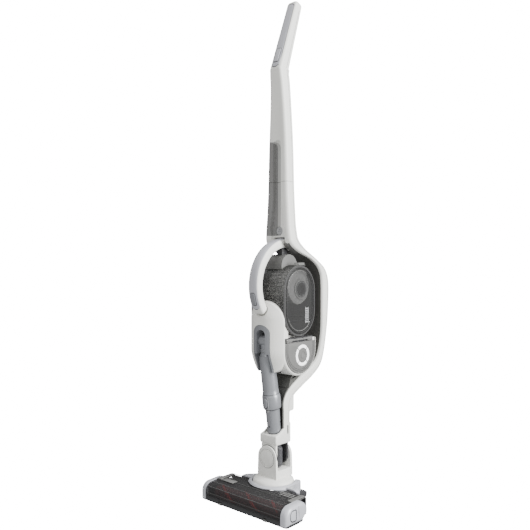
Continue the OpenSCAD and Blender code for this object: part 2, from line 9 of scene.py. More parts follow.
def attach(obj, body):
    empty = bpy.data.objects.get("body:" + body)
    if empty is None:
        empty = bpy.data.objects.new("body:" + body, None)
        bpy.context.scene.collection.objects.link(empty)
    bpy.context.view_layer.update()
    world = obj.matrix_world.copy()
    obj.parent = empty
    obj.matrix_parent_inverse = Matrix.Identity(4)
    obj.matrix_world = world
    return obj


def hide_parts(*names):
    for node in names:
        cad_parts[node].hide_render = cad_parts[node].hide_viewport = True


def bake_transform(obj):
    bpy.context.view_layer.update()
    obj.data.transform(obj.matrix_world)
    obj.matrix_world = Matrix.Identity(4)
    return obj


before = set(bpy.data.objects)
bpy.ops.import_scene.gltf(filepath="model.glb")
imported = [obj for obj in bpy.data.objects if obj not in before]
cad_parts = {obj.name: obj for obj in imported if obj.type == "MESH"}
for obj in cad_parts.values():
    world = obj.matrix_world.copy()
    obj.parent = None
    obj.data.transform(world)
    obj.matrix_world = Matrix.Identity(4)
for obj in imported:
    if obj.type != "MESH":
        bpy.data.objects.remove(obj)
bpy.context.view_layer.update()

# Lengths below are millimetres about the neck's vertical axis, as in the CAD.
MM = 0.001
NECK_Y = -28.9
HANDLE_LEAN = math.radians(20)
BEND_Z = 986
HANDLE_FRONT = 6
YOKE_REAR, STICK_REAR = 33, 43.5
WAND_LEAN = math.radians(8.8)
WAND_PIVOT = (0, -28, 366)
LOOP_Y, LOOP_Z, LOOP_R, LOOP_T, LOOP_HW = 37, 490, 108, 21.5, 15
BOWL_Y, BOWL_TOP, BOWL_LOW, BOWL_R = 35, 480, 430, 56
BELLY_Y, BELLY_Z, BELLY_R = 36.5, 345, 60.5
PANEL_R, PANEL_TOP = 54.5, 362
RING_Y, RING_Z = 43, 331
SHROUD_Y, SHROUD_Z = 42, 487
VAC_HW = 50
BRUSH_Y, BRUSH_Z = -80, 18.5
BRUSH_CORE_R, PILE_R, TUFT_R = 10.9, 15.0, 17.2
CYCLONE_Y, CYCLONE_Z = 46, 481
HANDLE_L, HANDLE_TOP_L = 177, 166
SWITCH_UP = 25
DOME_R = 49.5
CAMERA_AIM = (-0.669, 0.743, 0)
BACKDROP, AMBIENT = 18.0, 0.28
GROOVE_HW, GROOVE_TOP, GROOVE_DEPTH = 11, 811, 10
STATIONS = [
    (5, 152, YOKE_REAR, 152), (5, 200, YOKE_REAR, 196), (6, 228, 34.5, 214), (24, 254, 49, 236),
    (55, 274, 76, 253), (93, 295, 107, 271), (119, 322, 137, 303), (131, 373, 153.5, 371),
    (133, 440, 162, 430), (132, 500, 164, 492), (120, 529, 150.5, 526), (90, 550, 117, 550),
    (48, 565, 73, 575), (18, 582, 49, 596), (10.5, 604, STICK_REAR, 618), (10.5, 660, STICK_REAR, 660),
    (10.5, 727, STICK_REAR, 727), (10.5, 860, STICK_REAR - 0.5, 860), (8, 940, STICK_REAR - 2, 938),
    (4, BEND_Z - 8, STICK_REAR - 3, BEND_Z - 20), (HANDLE_FRONT, BEND_Z + 9, STICK_REAR - 3, BEND_Z - 1),
    (HANDLE_FRONT + 70 * math.tan(HANDLE_LEAN), BEND_Z + 79, 37 + 70 * math.tan(HANDLE_LEAN), BEND_Z + 70),
    (HANDLE_FRONT + HANDLE_TOP_L * math.tan(HANDLE_LEAN), BEND_Z + 175,
     32 + HANDLE_TOP_L * math.tan(HANDLE_LEAN), BEND_Z + 167)]
WIDTHS = [
    (140, 25), (200, 25), (237, 25), (254, 28), (274, 30), (295, 35), (320, 38), (380, 39.5),
    (480, 39.5), (560, 39.5), (597, 39.5), (636, 35.5), (707, 31), (804, 28), (896, 23),
    (966, 19), (986, 18), (1060, 17.2), (1120, 16), (1150, 14.4), (1170, 14)]


def place(x, y, z):
    """A point given in millimetres about the neck axis, in the frame's metres."""
    return Vector((x, y + NECK_Y, z)) * MM


# ------------------------------------------------------------------ materials
def material(name, colour, rough, metal=0.0, coat=0.0, grain=1500.0, bump=0.02, vary=0.03,
             alpha=1.0, specular=0.5):
    """Moulded plastic or metal: a fine grain in the bump and slow drifts of colour and gloss."""
    mat = bpy.data.materials.new(name)
    mat.use_nodes = True
    nodes, links = mat.node_tree.nodes, mat.node_tree.links
    shader = nodes["Principled BSDF"]
    shader.inputs["Metallic"].default_value = metal
    shader.inputs["Coat Weight"].default_value = coat
    shader.inputs["Coat Roughness"].default_value = 0.12
    shader.inputs["Alpha"].default_value = alpha
    shader.inputs["Specular IOR Level"].default_value = specular
    where = nodes.new("ShaderNodeTexCoord")
    drift = nodes.new("ShaderNodeTexNoise")
    drift.inputs["Scale"].default_value = 9.0
    drift.inputs["Detail"].default_value = 3.0
    links.new(where.outputs["Object"], drift.inputs["Vector"])
    tint = nodes.new("ShaderNodeMix")
    tint.data_type = "RGBA"
    tint.inputs[6].default_value = (*[c * (1 - vary) for c in colour], 1)
    tint.inputs[7].default_value = (*[min(1.0, c * (1 + vary)) for c in colour], 1)
    links.new(drift.outputs["Fac"], tint.inputs[0])
    links.new(tint.outputs[2], shader.inputs["Base Color"])
    gloss = nodes.new("ShaderNodeMapRange")
    gloss.inputs["To Min"].default_value = rough * 0.85
    gloss.inputs["To Max"].default_value = min(1.0, rough * 1.15)
    links.new(drift.outputs["Fac"], gloss.inputs["Value"])
    links.new(gloss.outputs["Result"], shader.inputs["Roughness"])
    speck = nodes.new("ShaderNodeTexNoise")
    speck.inputs["Scale"].default_value = grain
    speck.inputs["Detail"].default_value = 2.0
    links.new(where.outputs["Object"], speck.inputs["Vector"])
    relief = nodes.new("ShaderNodeBump")
    relief.inputs["Strength"].default_value = bump
    relief.inputs["Distance"].default_value = 0.0003
    links.new(speck.outputs["Fac"], relief.inputs["Height"])
    links.new(relief.outputs["Normal"], shader.inputs["Normal"])
    return mat


def maths(tree, operation, one, two=0.0):
    node = tree.nodes.new("ShaderNodeMath")
    node.operation = operation
    for socket, value in zip(node.inputs, (one, two)):
        if isinstance(value, (int, float)):
            socket.default_value = value
        else:
            tree.links.new(value, socket)
    return node.outputs[0]


def ramp(tree, value, lo, hi, low=0.0, high=1.0):
    """Goes smoothly from low at lo to high at hi."""
    node = tree.nodes.new("ShaderNodeMapRange")
    node.interpolation_type = "SMOOTHSTEP"
    for name, number in (("From Min", lo), ("From Max", hi), ("To Min", low), ("To Max", high)):
        node.inputs[name].default_value = number
    tree.links.new(value, node.inputs["Value"])
    return node.outputs["Result"]


def white_with_painted_shade(name, layers):
    """The white shell's plastic with painted shade in another colour wherever a mask over x, y and z is 1."""
    mat = WHITE.copy()
    mat.name = name
    tree = mat.node_tree
    base = tree.nodes["Principled BSDF"].inputs["Base Color"]
    where = tree.nodes.new("ShaderNodeTexCoord")
    split = tree.nodes.new("ShaderNodeSeparateXYZ")
    tree.links.new(where.outputs["Object"], split.inputs[0])
    for colour, mask in layers:
        mix = tree.nodes.new("ShaderNodeMix")
        mix.data_type = "RGBA"
        tree.links.new(base.links[0].from_socket, mix.inputs[6])
        mix.inputs[7].default_value = (*colour, 1)
        tree.links.new(mask(tree, *split.outputs), mix.inputs[0])
        tree.links.new(mix.outputs[2], base)
    return mat


def groove_shade_mask(right):
    """A mask of painted shade over the left of the stick's front, rounded over the top of the groove."""
    def mask(tree, x, y, z):
        half = ramp(tree, z, 0.56, 0.811, 0.024, 0.016)
        across = maths(tree, "DIVIDE", maths(tree, "SUBTRACT", maths(tree, "ADD", x, half), right), half)
        above = maths(tree, "DIVIDE", maths(tree, "MAXIMUM", maths(tree, "SUBTRACT", z, 0.803)), 0.018)
        squares = [maths(tree, "MULTIPLY", part, part) for part in (across, above)]
        reach = maths(tree, "ADD", *squares)
        front = ramp(tree, y, (26 + NECK_Y) * MM, (23 + NECK_Y) * MM)
        return maths(tree, "MULTIPLY", ramp(tree, reach, 1.0, 0.9), front)
    return mask


def wand_shadow_mask(tree, x, y, z):
    """A mask of painted shadow over the front-facing faces of the bow's foot, behind the wand."""
    surface = tree.nodes.new("ShaderNodeNewGeometry")
    split = tree.nodes.new("ShaderNodeSeparateXYZ")
    tree.links.new(surface.outputs["Normal"], split.inputs[0])
    return maths(tree, "MULTIPLY", ramp(tree, split.outputs[1], -0.4, -0.7), ramp(tree, z, 0.30, 0.285))


WHITE = material("white_shell", (0.74, 0.74, 0.705), 0.4, specular=0.3)
SILVER = material("silver_plastic", (0.235, 0.243, 0.26), 0.36, metal=0.35, grain=3200, bump=0.05)
GREY = material("grey_plastic", (0.13, 0.13, 0.126), 0.42, specular=0.3, bump=0.06)
PALE_GREY = material("pale_grey_plastic", (0.32, 0.325, 0.33), 0.4, specular=0.3, bump=0.05)
LIGHT_SILVER = material("light_silver", (0.46, 0.467, 0.50), 0.36, metal=0.2, specular=0.3,
                        grain=3200, bump=0.05)
INLAY = material("inlay_grey", (0.20, 0.20, 0.196), 0.42, specular=0.25)
# the stick's white front with painted shade: darker grey over its left side, a lighter grey strip beside the
# groove's middle
SHADED_STICK_FRONT = white_with_painted_shade("stick_front_painted_shade", (
    ((0.40, 0.40, 0.385), groove_shade_mask(0.005)),
    ((0.20, 0.20, 0.196), groove_shade_mask(-0.0035))))
# the bow's white shell with the wand's shadow painted dark on its foot's front faces
BOW_FOOT_SHADOW = white_with_painted_shade("bow_foot_painted_shadow", (((0.10, 0.10, 0.095), wand_shadow_mask),))
# dark grey of the cradle and the bowl lining, and painted shade on the bow's inner face
DARK_GREY_AND_SHADE = material("dark_grey_and_painted_shade", (0.085, 0.085, 0.08), 0.5, specular=0.2)
DARK = material("dark_plastic", (0.035, 0.035, 0.037), 0.45, specular=0.3, bump=0.02)
SMOKY = material("smoky_clear", (0.05, 0.05, 0.05), 0.16, alpha=0.42, specular=0.25, bump=0.0)
BOWL = material("bowl_clear", (0.10, 0.10, 0.098), 0.2, alpha=0.34, specular=0.25, bump=0.0)
SMOKY_EDGE = material("smoky_edge", (0.07, 0.07, 0.07), 0.2, alpha=0.8, specular=0.4, bump=0.0)
COVER = material("cover_clear", (0.045, 0.044, 0.045), 0.3, alpha=0.5, specular=0.04, bump=0.0)
CLEAR = material("clear_clip", (0.22, 0.22, 0.215), 0.1, alpha=0.6, specular=0.6, bump=0.0)
SHROUD = material("shroud_plastic", (0.52, 0.52, 0.51), 0.3, specular=0.4)
RUBBER = material("black_rubber", (0.012, 0.012, 0.012), 0.6, bump=0.15)
STEEL = material("steel", (0.56, 0.56, 0.58), 0.25, metal=1.0)
RED = material("bristle", (0.62, 0.05, 0.055), 0.6, grain=2500, bump=0.6, vary=0.25)
PILE = material("bristle_pile", (0.16, 0.03, 0.032), 0.8, grain=2500, bump=0.6, vary=0.3)
HOSE = material("hose_plastic", (0.07, 0.07, 0.075), 0.42, bump=0.1)
FILTER = material("filter_media", (0.75, 0.74, 0.68), 0.85, grain=900, bump=0.3)
CELL = material("cell_can", (0.12, 0.25, 0.42), 0.35)
LIGHT = material("light_white", (0.95, 0.95, 0.95), 0.3)
LIGHT.node_tree.nodes["Principled BSDF"].inputs["Emission Color"].default_value = (1, 1, 1, 1)
LIGHT.node_tree.nodes["Principled BSDF"].inputs["Emission Strength"].default_value = 0.9


# ------------------------------------------------------------------ mesh helpers
def add(name, verts, faces, mat):
    mesh = bpy.data.meshes.new(name)
    mesh.from_pydata([tuple(v) for v in verts], [], faces)
    mesh.validate()
    obj = bpy.data.objects.new(name, mesh)
    bpy.context.scene.collection.objects.link(obj)
    tidy_normals(obj)
    mesh.materials.append(mat)
    return obj


def tidy_normals(obj):
    bm = bmesh.new()
    bm.from_mesh(obj.data)
    bmesh.ops.remove_doubles(bm, verts=bm.verts, dist=0.01 * MM)
    bmesh.ops.recalc_face_normals(bm, faces=bm.faces)
    bm.to_mesh(obj.data)
    bm.free()


def smooth(obj, angle=38):
    obj.data.shade_smooth()
    obj.data.set_sharp_from_angle(angle=math.radians(angle))
    return obj


def bake(obj):
    """Applies the modifiers, so that the mesh is the final one."""
    graph = bpy.context.evaluated_depsgraph_get()
    mesh = bpy.data.meshes.new_from_object(obj.evaluated_get(graph))
    obj.modifiers.clear()
    obj.data = mesh
    return obj


def bevel(obj, width, segments=3, angle=32):
    mod = obj.modifiers.new("edge", "BEVEL")
    mod.width = width * MM
    mod.segments = segments
    mod.limit_method = "ANGLE"
    mod.angle_limit = math.radians(angle)
    return bake(obj)


def cut(obj, cutter, operation="DIFFERENCE"):
    mod = obj.modifiers.new("cut", "BOOLEAN")
    mod.operation = operation
    mod.solver = "EXACT"
    mod.object = cutter
    bake(obj)
    bpy.data.objects.remove(cutter)
    return obj


def melt(obj, voxel, rounds):
    """Rounds every edge of a closed shape as a mould would."""
    mod = obj.modifiers.new("skin", "REMESH")
    mod.mode = "VOXEL"
    mod.voxel_size = voxel * MM
    mod = obj.modifiers.new("soft", "SMOOTH")
    mod.factor = 0.5
    mod.iterations = rounds
    bake(obj)
    obj.data.shade_smooth()
    return obj


def loft(name, rings, mat, closed=False):
    """A skin over rings of points; the end rings are capped unless the skin closes on itself."""
    n = len(rings[0])
    verts = [p for ring in rings for p in ring]
    count = len(rings)
    faces = []
    for i in range(count if closed else count - 1):
        j = (i + 1) % count
        for k in range(n):
            m = (k + 1) % n
            faces.append((i * n + k, i * n + m, j * n + m, j * n + k))
    if not closed:
        faces.append(tuple(range(n - 1, -1, -1)))
        faces.append(tuple(range((count - 1) * n, count * n)))
    return add(name, verts, faces, mat)


def prism(name, outline, lo, hi, mat, axis="x"):
    """An outline pushed along x, y or z. Outlines are (y, z), (x, z) or (x, y)."""
    put = {"x": lambda a, b, h: place(h, a, b), "y": lambda a, b, h: place(a, h, b),
           "z": lambda a, b, h: place(a, b, h)}[axis]
    return loft(name, [[put(a, b, h) for a, b in outline] for h in (lo, hi)], mat)


def box(name, lo, hi, mat):
    outline = [(lo[1], lo[2]), (hi[1], lo[2]), (hi[1], hi[2]), (lo[1], hi[2])]
    return prism(name, outline, lo[0], hi[0], mat)


def arc(cx, cy, rx, ry, a0, a1, n):
    return [(cx + rx * math.cos(math.radians(a0 + (a1 - a0) * i / n)),
             cy + ry * math.sin(math.radians(a0 + (a1 - a0) * i / n))) for i in range(n + 1)]


def angles(n):
    """Evenly spread angles of one full turn."""
    return [2 * math.pi * k / n for k in range(n)]


def stadium(r, n=28):
    return arc(BOWL_Y, BOWL_TOP, r, r, 0, 180, n) + arc(BOWL_Y, BOWL_LOW, r, r, 180, 360, n)


def disc(cy, cz, r, n=64):
    return arc(cy, cz, r, r, 0, 360 - 360 / n, n - 1)


def lathe(name, profile, mat, centre, axis, n=72):
    """Turns (radius, height) points about an axis through centre; the profile is a closed loop."""
    turn = Vector((0, 0, 1)).rotation_difference(Vector(axis)).to_matrix()
    rings = []
    for i in range(n):
        a = 2 * math.pi * i / n
        rings.append([place(*(Vector(centre) + turn @ Vector((r * math.cos(a), r * math.sin(a), h))))
                      for r, h in profile])
    return smooth(loft(name, rings, mat, closed=True))


def pipe(name, points, radius, mat, closed=False, sides=12):
    """A round bar of one radius along points in millimetres."""
    pts = [place(*p) for p in points]
    rings = []
    count = len(pts)
    for i, p in enumerate(pts):
        before = pts[(i - 1) % count] if closed or i else p
        after = pts[(i + 1) % count] if closed or i < count - 1 else p
        ahead = (after - before).normalized()
        side = ahead.cross(Vector((1, 0, 0.001))).normalized()
        up = side.cross(ahead)
        rings.append([p + (side * math.cos(a) + up * math.sin(a)) * radius * MM
                      for a in angles(sides)])
    return smooth(loft(name, rings, mat, closed=closed), 60)


def from_cad(node, mat, name=None):
    """A copy of a CAD node's mesh, joined up for bevels."""
    obj = bpy.data.objects.new(name or node + "_skin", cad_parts[node].data.copy())
    bpy.context.scene.collection.objects.link(obj)
    bm = bmesh.new()
    bm.from_mesh(obj.data)
    bmesh.ops.remove_doubles(bm, verts=bm.verts, dist=0.01 * MM)
    bmesh.ops.dissolve_limit(bm, angle_limit=math.radians(0.5), verts=bm.verts, edges=bm.edges)
    bm.to_mesh(obj.data)
    bm.free()
    obj.data.materials.clear()
    obj.data.materials.append(mat)
    return obj


def finish_piece(obj, body, slot, *nodes):
    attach(obj, body)
    if nodes:
        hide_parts(*nodes)
    return obj


def softened(node, body, slot, mat, width, segments=3):
    """Stands for a CAD node with its edges rounded."""
    obj = smooth(bevel(from_cad(node, mat), width, segments), 40)
    return finish_piece(obj, body, slot, node)


def paint(mat, *names):
    """Gives carried-over CAD nodes their finish."""
    for node in names:
        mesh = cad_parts[node].data
        mesh.materials.clear()
        mesh.materials.append(mat)
        smooth(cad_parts[node], 35)


# ------------------------------------------------------------------ frame: bow, stick and handle
def blend4(a, b, c, d, u):
    return 0.5 * (2 * b + (c - a) * u + (2 * a - 5 * b + 4 * c - d) * u * u
                  + (3 * b - a - 3 * c + d) * u ** 3)


def along(table, t):
    last = len(table) - 1
    i = max(0, min(int(t), last - 1))
    rows = [table[max(i - 1, 0)], table[i], table[i + 1], table[min(i + 2, last)]]
    return [blend4(*column, t - i) for column in zip(*rows)]


WIDTH_CURVE = [along(WIDTHS, t / 4) for t in range(4 * (len(WIDTHS) - 1) + 1)]


def half_width(z):
    for (z0, w0), (z1, w1) in zip(WIDTH_CURVE, WIDTH_CURVE[1:]):
        if z <= z1:
            return w0 + (w1 - w0) * max(0.0, (z - z0) / (z1 - z0))
    return WIDTH_CURVE[-1][1]


def step(lo, hi, x):
    u = max(0.0, min(1.0, (x - lo) / (hi - lo)))
    return u * u * (3 - 2 * u)


def groove_depth(x, z):
    """How far the groove sinks the stick's front face, and the soft hollow above it."""
    if z < 560 or z > 975:
        return 0.0
    reach = abs(x) if z < GROOVE_TOP else math.hypot(x, z - GROOVE_TOP)
    wide = GROOVE_HW + 9 * step(700, 600, z)
    hollow = 1.6 * step(0.8, 0.1, abs(x) / half_width(z)) * step(965, 850, z)
    return GROOVE_DEPTH * step(wide + 1.6, wide - 1.8, reach) + hollow * step(wide, wide + 2, reach)


def section(t, front, power=5.0):
    """One ring of the frame: its front two thirds, or the rear shell behind the parting line."""
    fy, fz, ry, rz = along(STATIONS, t)
    w = half_width((fz + rz) / 2)
    split = 0.65

    def point(x, v, sink=0.0):
        y, z = fy + (ry - fy) * v, fz + (rz - fz) * v
        return place(x, y + sink, z)

    def depth(x):
        return 0.5 - 0.5 * max(0.0, 1 - abs(x / w) ** power) ** (1 / power)

    seam = 0.012
    if front:
        fine = [1, .9985, .992, .98, .96, .93, .89, .84, .78, .72]
        marks = [m * w for m in fine]
        marks += [x for x in (20, 19, 18, 16, 14, 13, 12.2, 11.6, 11, 10.4, 9.8, 9.2, 8, 6, 3)
                  if x < 0.70 * w]
        marks += [0.0] * (25 - len(marks))
        marks = sorted(marks, reverse=True)
        xs = marks + [-m for m in reversed(marks[:-1])]
        sides = [split - seam, 0.55]
        ring = [point(w, v) for v in sides]
        for x in xs:
            v = depth(x)
            z = fz + (rz - fz) * v
            sink = groove_depth(x, z) if t > 13 else 0.0
            if t < 4 and abs(x) < 20.5 and v < 0.4:
                sink = max(0.0, 22.5 - (fy + (ry - fy) * v)) if z < 262 else 0.0
            ring.append(point(x, v, sink))
        ring += [point(-w, v) for v in reversed(sides)]
        return ring
    turn = [math.pi * k / 40 for k in range(41)]
    ring = [point(w, split + seam)]
    for a in turn:
        x = w * math.copysign(abs(math.cos(a)) ** (2 / power), math.cos(a))
        v = 0.5 + 0.5 * abs(math.sin(a)) ** (2 / power)
        if v > split + seam + 0.01:
            ring.append((x, v))
        else:
            low = split + seam + 0.005 + 0.0005 * min(a, math.pi - a)
            ring.append((math.copysign(w, math.cos(a)), low))
    return [ring[0]] + [point(*r) for r in ring[1:]] + [point(-w, split + seam)]


def frame_part(name, t0, t1, front, pitch=3.0, mat=WHITE):
    """Rings every few millimetres along the stations."""
    a, ts = t0, [t0]
    while a < t1:
        here, ahead = along(STATIONS, a), along(STATIONS, min(a + 0.02, t1))
        speed = max(math.hypot(ahead[0] - here[0], ahead[1] - here[1]),
                    math.hypot(ahead[2] - here[2], ahead[3] - here[3])) / 0.02
        a = min(t1, a + pitch / max(speed, 1.0))
        ts.append(a)
    return smooth(loft(name, [section(t, front) for t in ts], mat), 50)


def build_bow_shade():
    """Painted shade on the inner face of the bow: grey and dark strips set in from the white rim."""
    def strip(t):
        fy, fz, ry, rz = along(STATIONS, t)
        w = half_width((fz + rz) / 2)
        ahead = along(STATIONS, t + 0.05)
        slope = math.hypot(ahead[0] - fy, ahead[1] - fz)
        into = ((ahead[1] - fz) / slope, -(ahead[0] - fy) / slope)
        ring = []
        for lift, sign in ((0.35, 1), (-2.0, -1)):
            for k in range(13):
                x = sign * 0.84 * w * (1 - k / 6)
                v = 0.5 - 0.5 * max(0.0, 1 - abs(x / w) ** 5.0) ** 0.2
                y, z = fy + (ry - fy) * v, fz + (rz - fz) * v
                ring.append(place(x, y - into[0] * lift, z - into[1] * lift))
        return ring

    # painted shade: grey near the ends of the bow, dark in its middle behind the bowl
    for k, (t0, t1, mat) in enumerate(((3.3, 5.6, GREY), (5.6, 11.9, DARK_GREY_AND_SHADE), (11.9, 13.2, GREY))):
        ts = [t0 + (t1 - t0) * i / 40 for i in range(41)]
        piece = smooth(loft(f"bow_shade_{k}", [strip(t) for t in ts], mat), 40)
        finish_piece(cut(piece, loop_pocket()) if k == 2 else piece, "frame", "grey_plastic")


def loop_pocket():
    return box("pocket", (-16.5, -60, 540), (16.5, 42, 600.5), WHITE)


def build_frame():
    seam = 0.004
    spine = cut(frame_part("spine_inner_skin", 0, 14 - seam, True, 3.0, BOW_FOOT_SHADOW), loop_pocket())
    finish_piece(smooth(spine), "frame", "white_shell", "spine_inner_shell")
    rear = frame_part("spine_rear_skin", 0, 14 - seam, False)
    finish_piece(rear, "frame", "white_shell", "spine_rear_shell")
    lower = frame_part("stick_lower_skin", 14 - seam, 16 - seam, True, 2.0, SHADED_STICK_FRONT)
    hole = lathe("hole", [(0.01, -2), (10.2, -2), (10.2, 40), (0.01, 40)], WHITE, (0, 5, 615), (0, 1, 0))
    finish_piece(smooth(cut(lower, hole), 50), "frame", "white_shell", "stick_lower_shell")
    upper = frame_part("stick_upper_skin", 16 + seam, 20 - seam, True, 2.0, SHADED_STICK_FRONT)
    finish_piece(upper, "frame", "white_shell", "stick_upper_shell")
    back = frame_part("stick_rear_skin", 14 + seam, 20 - seam, False)
    room = [(0.01, -20), (6.05, -20), (6.05, 20), (0.01, 20)]
    socket = lathe("socket", room, WHITE, (0, STICK_REAR, 690), (0, 1, 0))
    finish_piece(smooth(cut(back, socket), 50), "frame", "white_shell", "stick_rear_shell")
    build_bow_shade()
    build_parting_lines()
    build_cradle()
    build_hook()
    build_handle()


def build_parting_lines():
    """The thin joint between the front and rear shells, on both sides."""
    for k, side in enumerate((-1, 1)):
        line = []
        for i in range(101):
            fy, fz, ry, rz = along(STATIONS, 5.5 + 14.4 * i / 100)
            w = half_width((fz + rz) / 2)
            line.append((side * w, fy + (ry - fy) * 0.65, fz + (rz - fz) * 0.65))
        finish_piece(pipe(f"parting_line_{k}", line, 0.4, GREY, sides=6), "frame", "white_shell")
        line = []
        for i in range(25):
            up = 6.5 * i
            part = up / HANDLE_L
            point = handle_point(side * (17.8 - 2.8 * part), 0.62 * (33 - 8 * part), up) / MM
            line.append((point.x, point.y - NECK_Y, point.z))
        finish_piece(pipe(f"handle_line_{k}", line, 0.4, GREY, sides=6), "frame", "white_shell")


def build_cradle():
    """The grey rest in the bow's foot that the hand vacuum's belly stands over."""
    outline = [(23, 255), (29, 275), (33, 281), (40, 283.4), (74, 283.4), (93, 297), (58, 275)]
    cradle = bevel(prism("dock_cradle", outline, -28.5, 26, DARK_GREY_AND_SHADE), 1.5, 3, 40)
    finish_piece(smooth(cradle), "frame", "grey_plastic")


def build_hook():
    outline = arc(41, 207, 6, 6, -90, 0, 8) + [(47, 238), (31, 238), (31, 199), (33, 199), (34, 201)]
    hook = bevel(prism("storage_hook", outline, -22, 22, WHITE), 3)
    finish_piece(smooth(hook), "frame", "white_shell")


def handle_point(x, back, up):
    """A point in the handle's own leaning frame, above its front face's start."""
    c, s = math.cos(HANDLE_LEAN), math.sin(HANDLE_LEAN)
    return place(x, HANDLE_FRONT + back * c + up * s, BEND_Z + 9 - back * s + up * c)


def build_handle():
    rings = []
    top = HANDLE_L
    for i in range(61):
        up = -9 + (top + 9) * i / 60
        end = max(0.0, (up - (top - 9)) / 9)
        shrink = math.sqrt(max(0.02, 1 - end * end))
        w = (17.8 - 2.8 * max(0, up) / top) * (0.55 + 0.45 * shrink)
        deep = (33.0 - 8 * max(0, up) / top)
        mid, half = deep / 2 + 1.0 * (1 - shrink), deep / 2 * (0.5 + 0.5 * shrink)
        ring = []
        for k in range(56):
            a = 2 * math.pi * k / 56
            e = 2 / 4.6
            ring.append(handle_point(w * math.copysign(abs(math.cos(a)) ** e, math.cos(a)),
                                     mid + half * math.copysign(abs(math.sin(a)) ** e, math.sin(a)),
                                     up))
        rings.append(ring)
    shell = smooth(loft("handle_skin", rings, WHITE), 60)
    finish_piece(shell, "frame", "white_shell", "handle_shell")
    # the grip panel lies over the front face, with a dark joint line round it
    for name, mat, w, lift, lo, hi, slot in (
            ("grip_joint", DARK, 12.9, 0.45, -6, 167, "dark_plastic"),
            ("handle_grip_skin", LIGHT_SILVER, 11.4, 1.1, -4, 165, "silver_plastic")):
        panel = []
        for i in range(49):
            up = lo + (hi - lo) * i / 48
            near = min(up - lo, hi - up)
            round_end = math.sqrt(max(0.0, 1 - max(0.0, 1 - near / 8) ** 2))
            half = w * (0.35 + 0.65 * round_end) * (1 - 0.12 * max(0, up) / hi)
            ring = []
            for k in range(17):
                x = half * (1 - 2 * k / 16)
                ring.append(handle_point(x, 3.2 * (abs(x) / 17) ** 3 - lift * (0.4 + 0.6 * round_end), up))
            ring += [handle_point(-half, 5, up), handle_point(half, 5, up)]
            panel.append(ring)
        piece = smooth(loft(name, panel, mat), 50)
        if name == "handle_grip_skin":
            finish_piece(piece, "frame", slot, "handle_grip")
        else:
            finish_piece(piece, "frame", slot)
    outline = []
    for cx, cz, a in ((5, 38, 0), (-5, 38, 90), (-5, 12, 180), (5, 12, 270)):
        outline += arc(cx, cz, 1.5, 4, a, a + 90, 6)
    rings = [[handle_point(x, back, up) for x, up in outline] for back in (2.0, -2.3)]
    switch = smooth(bevel(loft("handle_switch_skin", rings, LIGHT_SILVER), 0.7), 40)
    finish_piece(switch, "main_switch", "silver_plastic", "handle_switch")
    wide = [(x * 1.16, SWITCH_UP + (up - SWITCH_UP) * 1.1) for x, up in outline]
    rings = [[handle_point(x, back, up) for x, up in wide] for back in (0.5, -1.35)]
    rim = smooth(loft("switch_rim", rings, DARK), 40)
    finish_piece(rim, "frame", "dark_plastic")


build_frame()


# ------------------------------------------------------------------ hand vacuum
def loop_ring(angle, shape, lift=0.0):
    """A section of the loop handle at an angle about its centre; shape gives (x, radius) pairs."""
    c, s = math.cos(math.radians(angle)), math.sin(math.radians(angle))
    return [place(x, LOOP_Y + (r + lift) * c, LOOP_Z + (r + lift) * s) for x, r in shape]


def super_ring(half_x, half_r, mid_r, power, n=44):
    e = 2 / power
    pts = []
    for k in range(n):
        a = 2 * math.pi * k / n
        pts.append((half_x * math.copysign(abs(math.cos(a)) ** e, math.cos(a)),
                    mid_r + half_r * math.copysign(abs(math.sin(a)) ** e, math.sin(a))))
    return pts


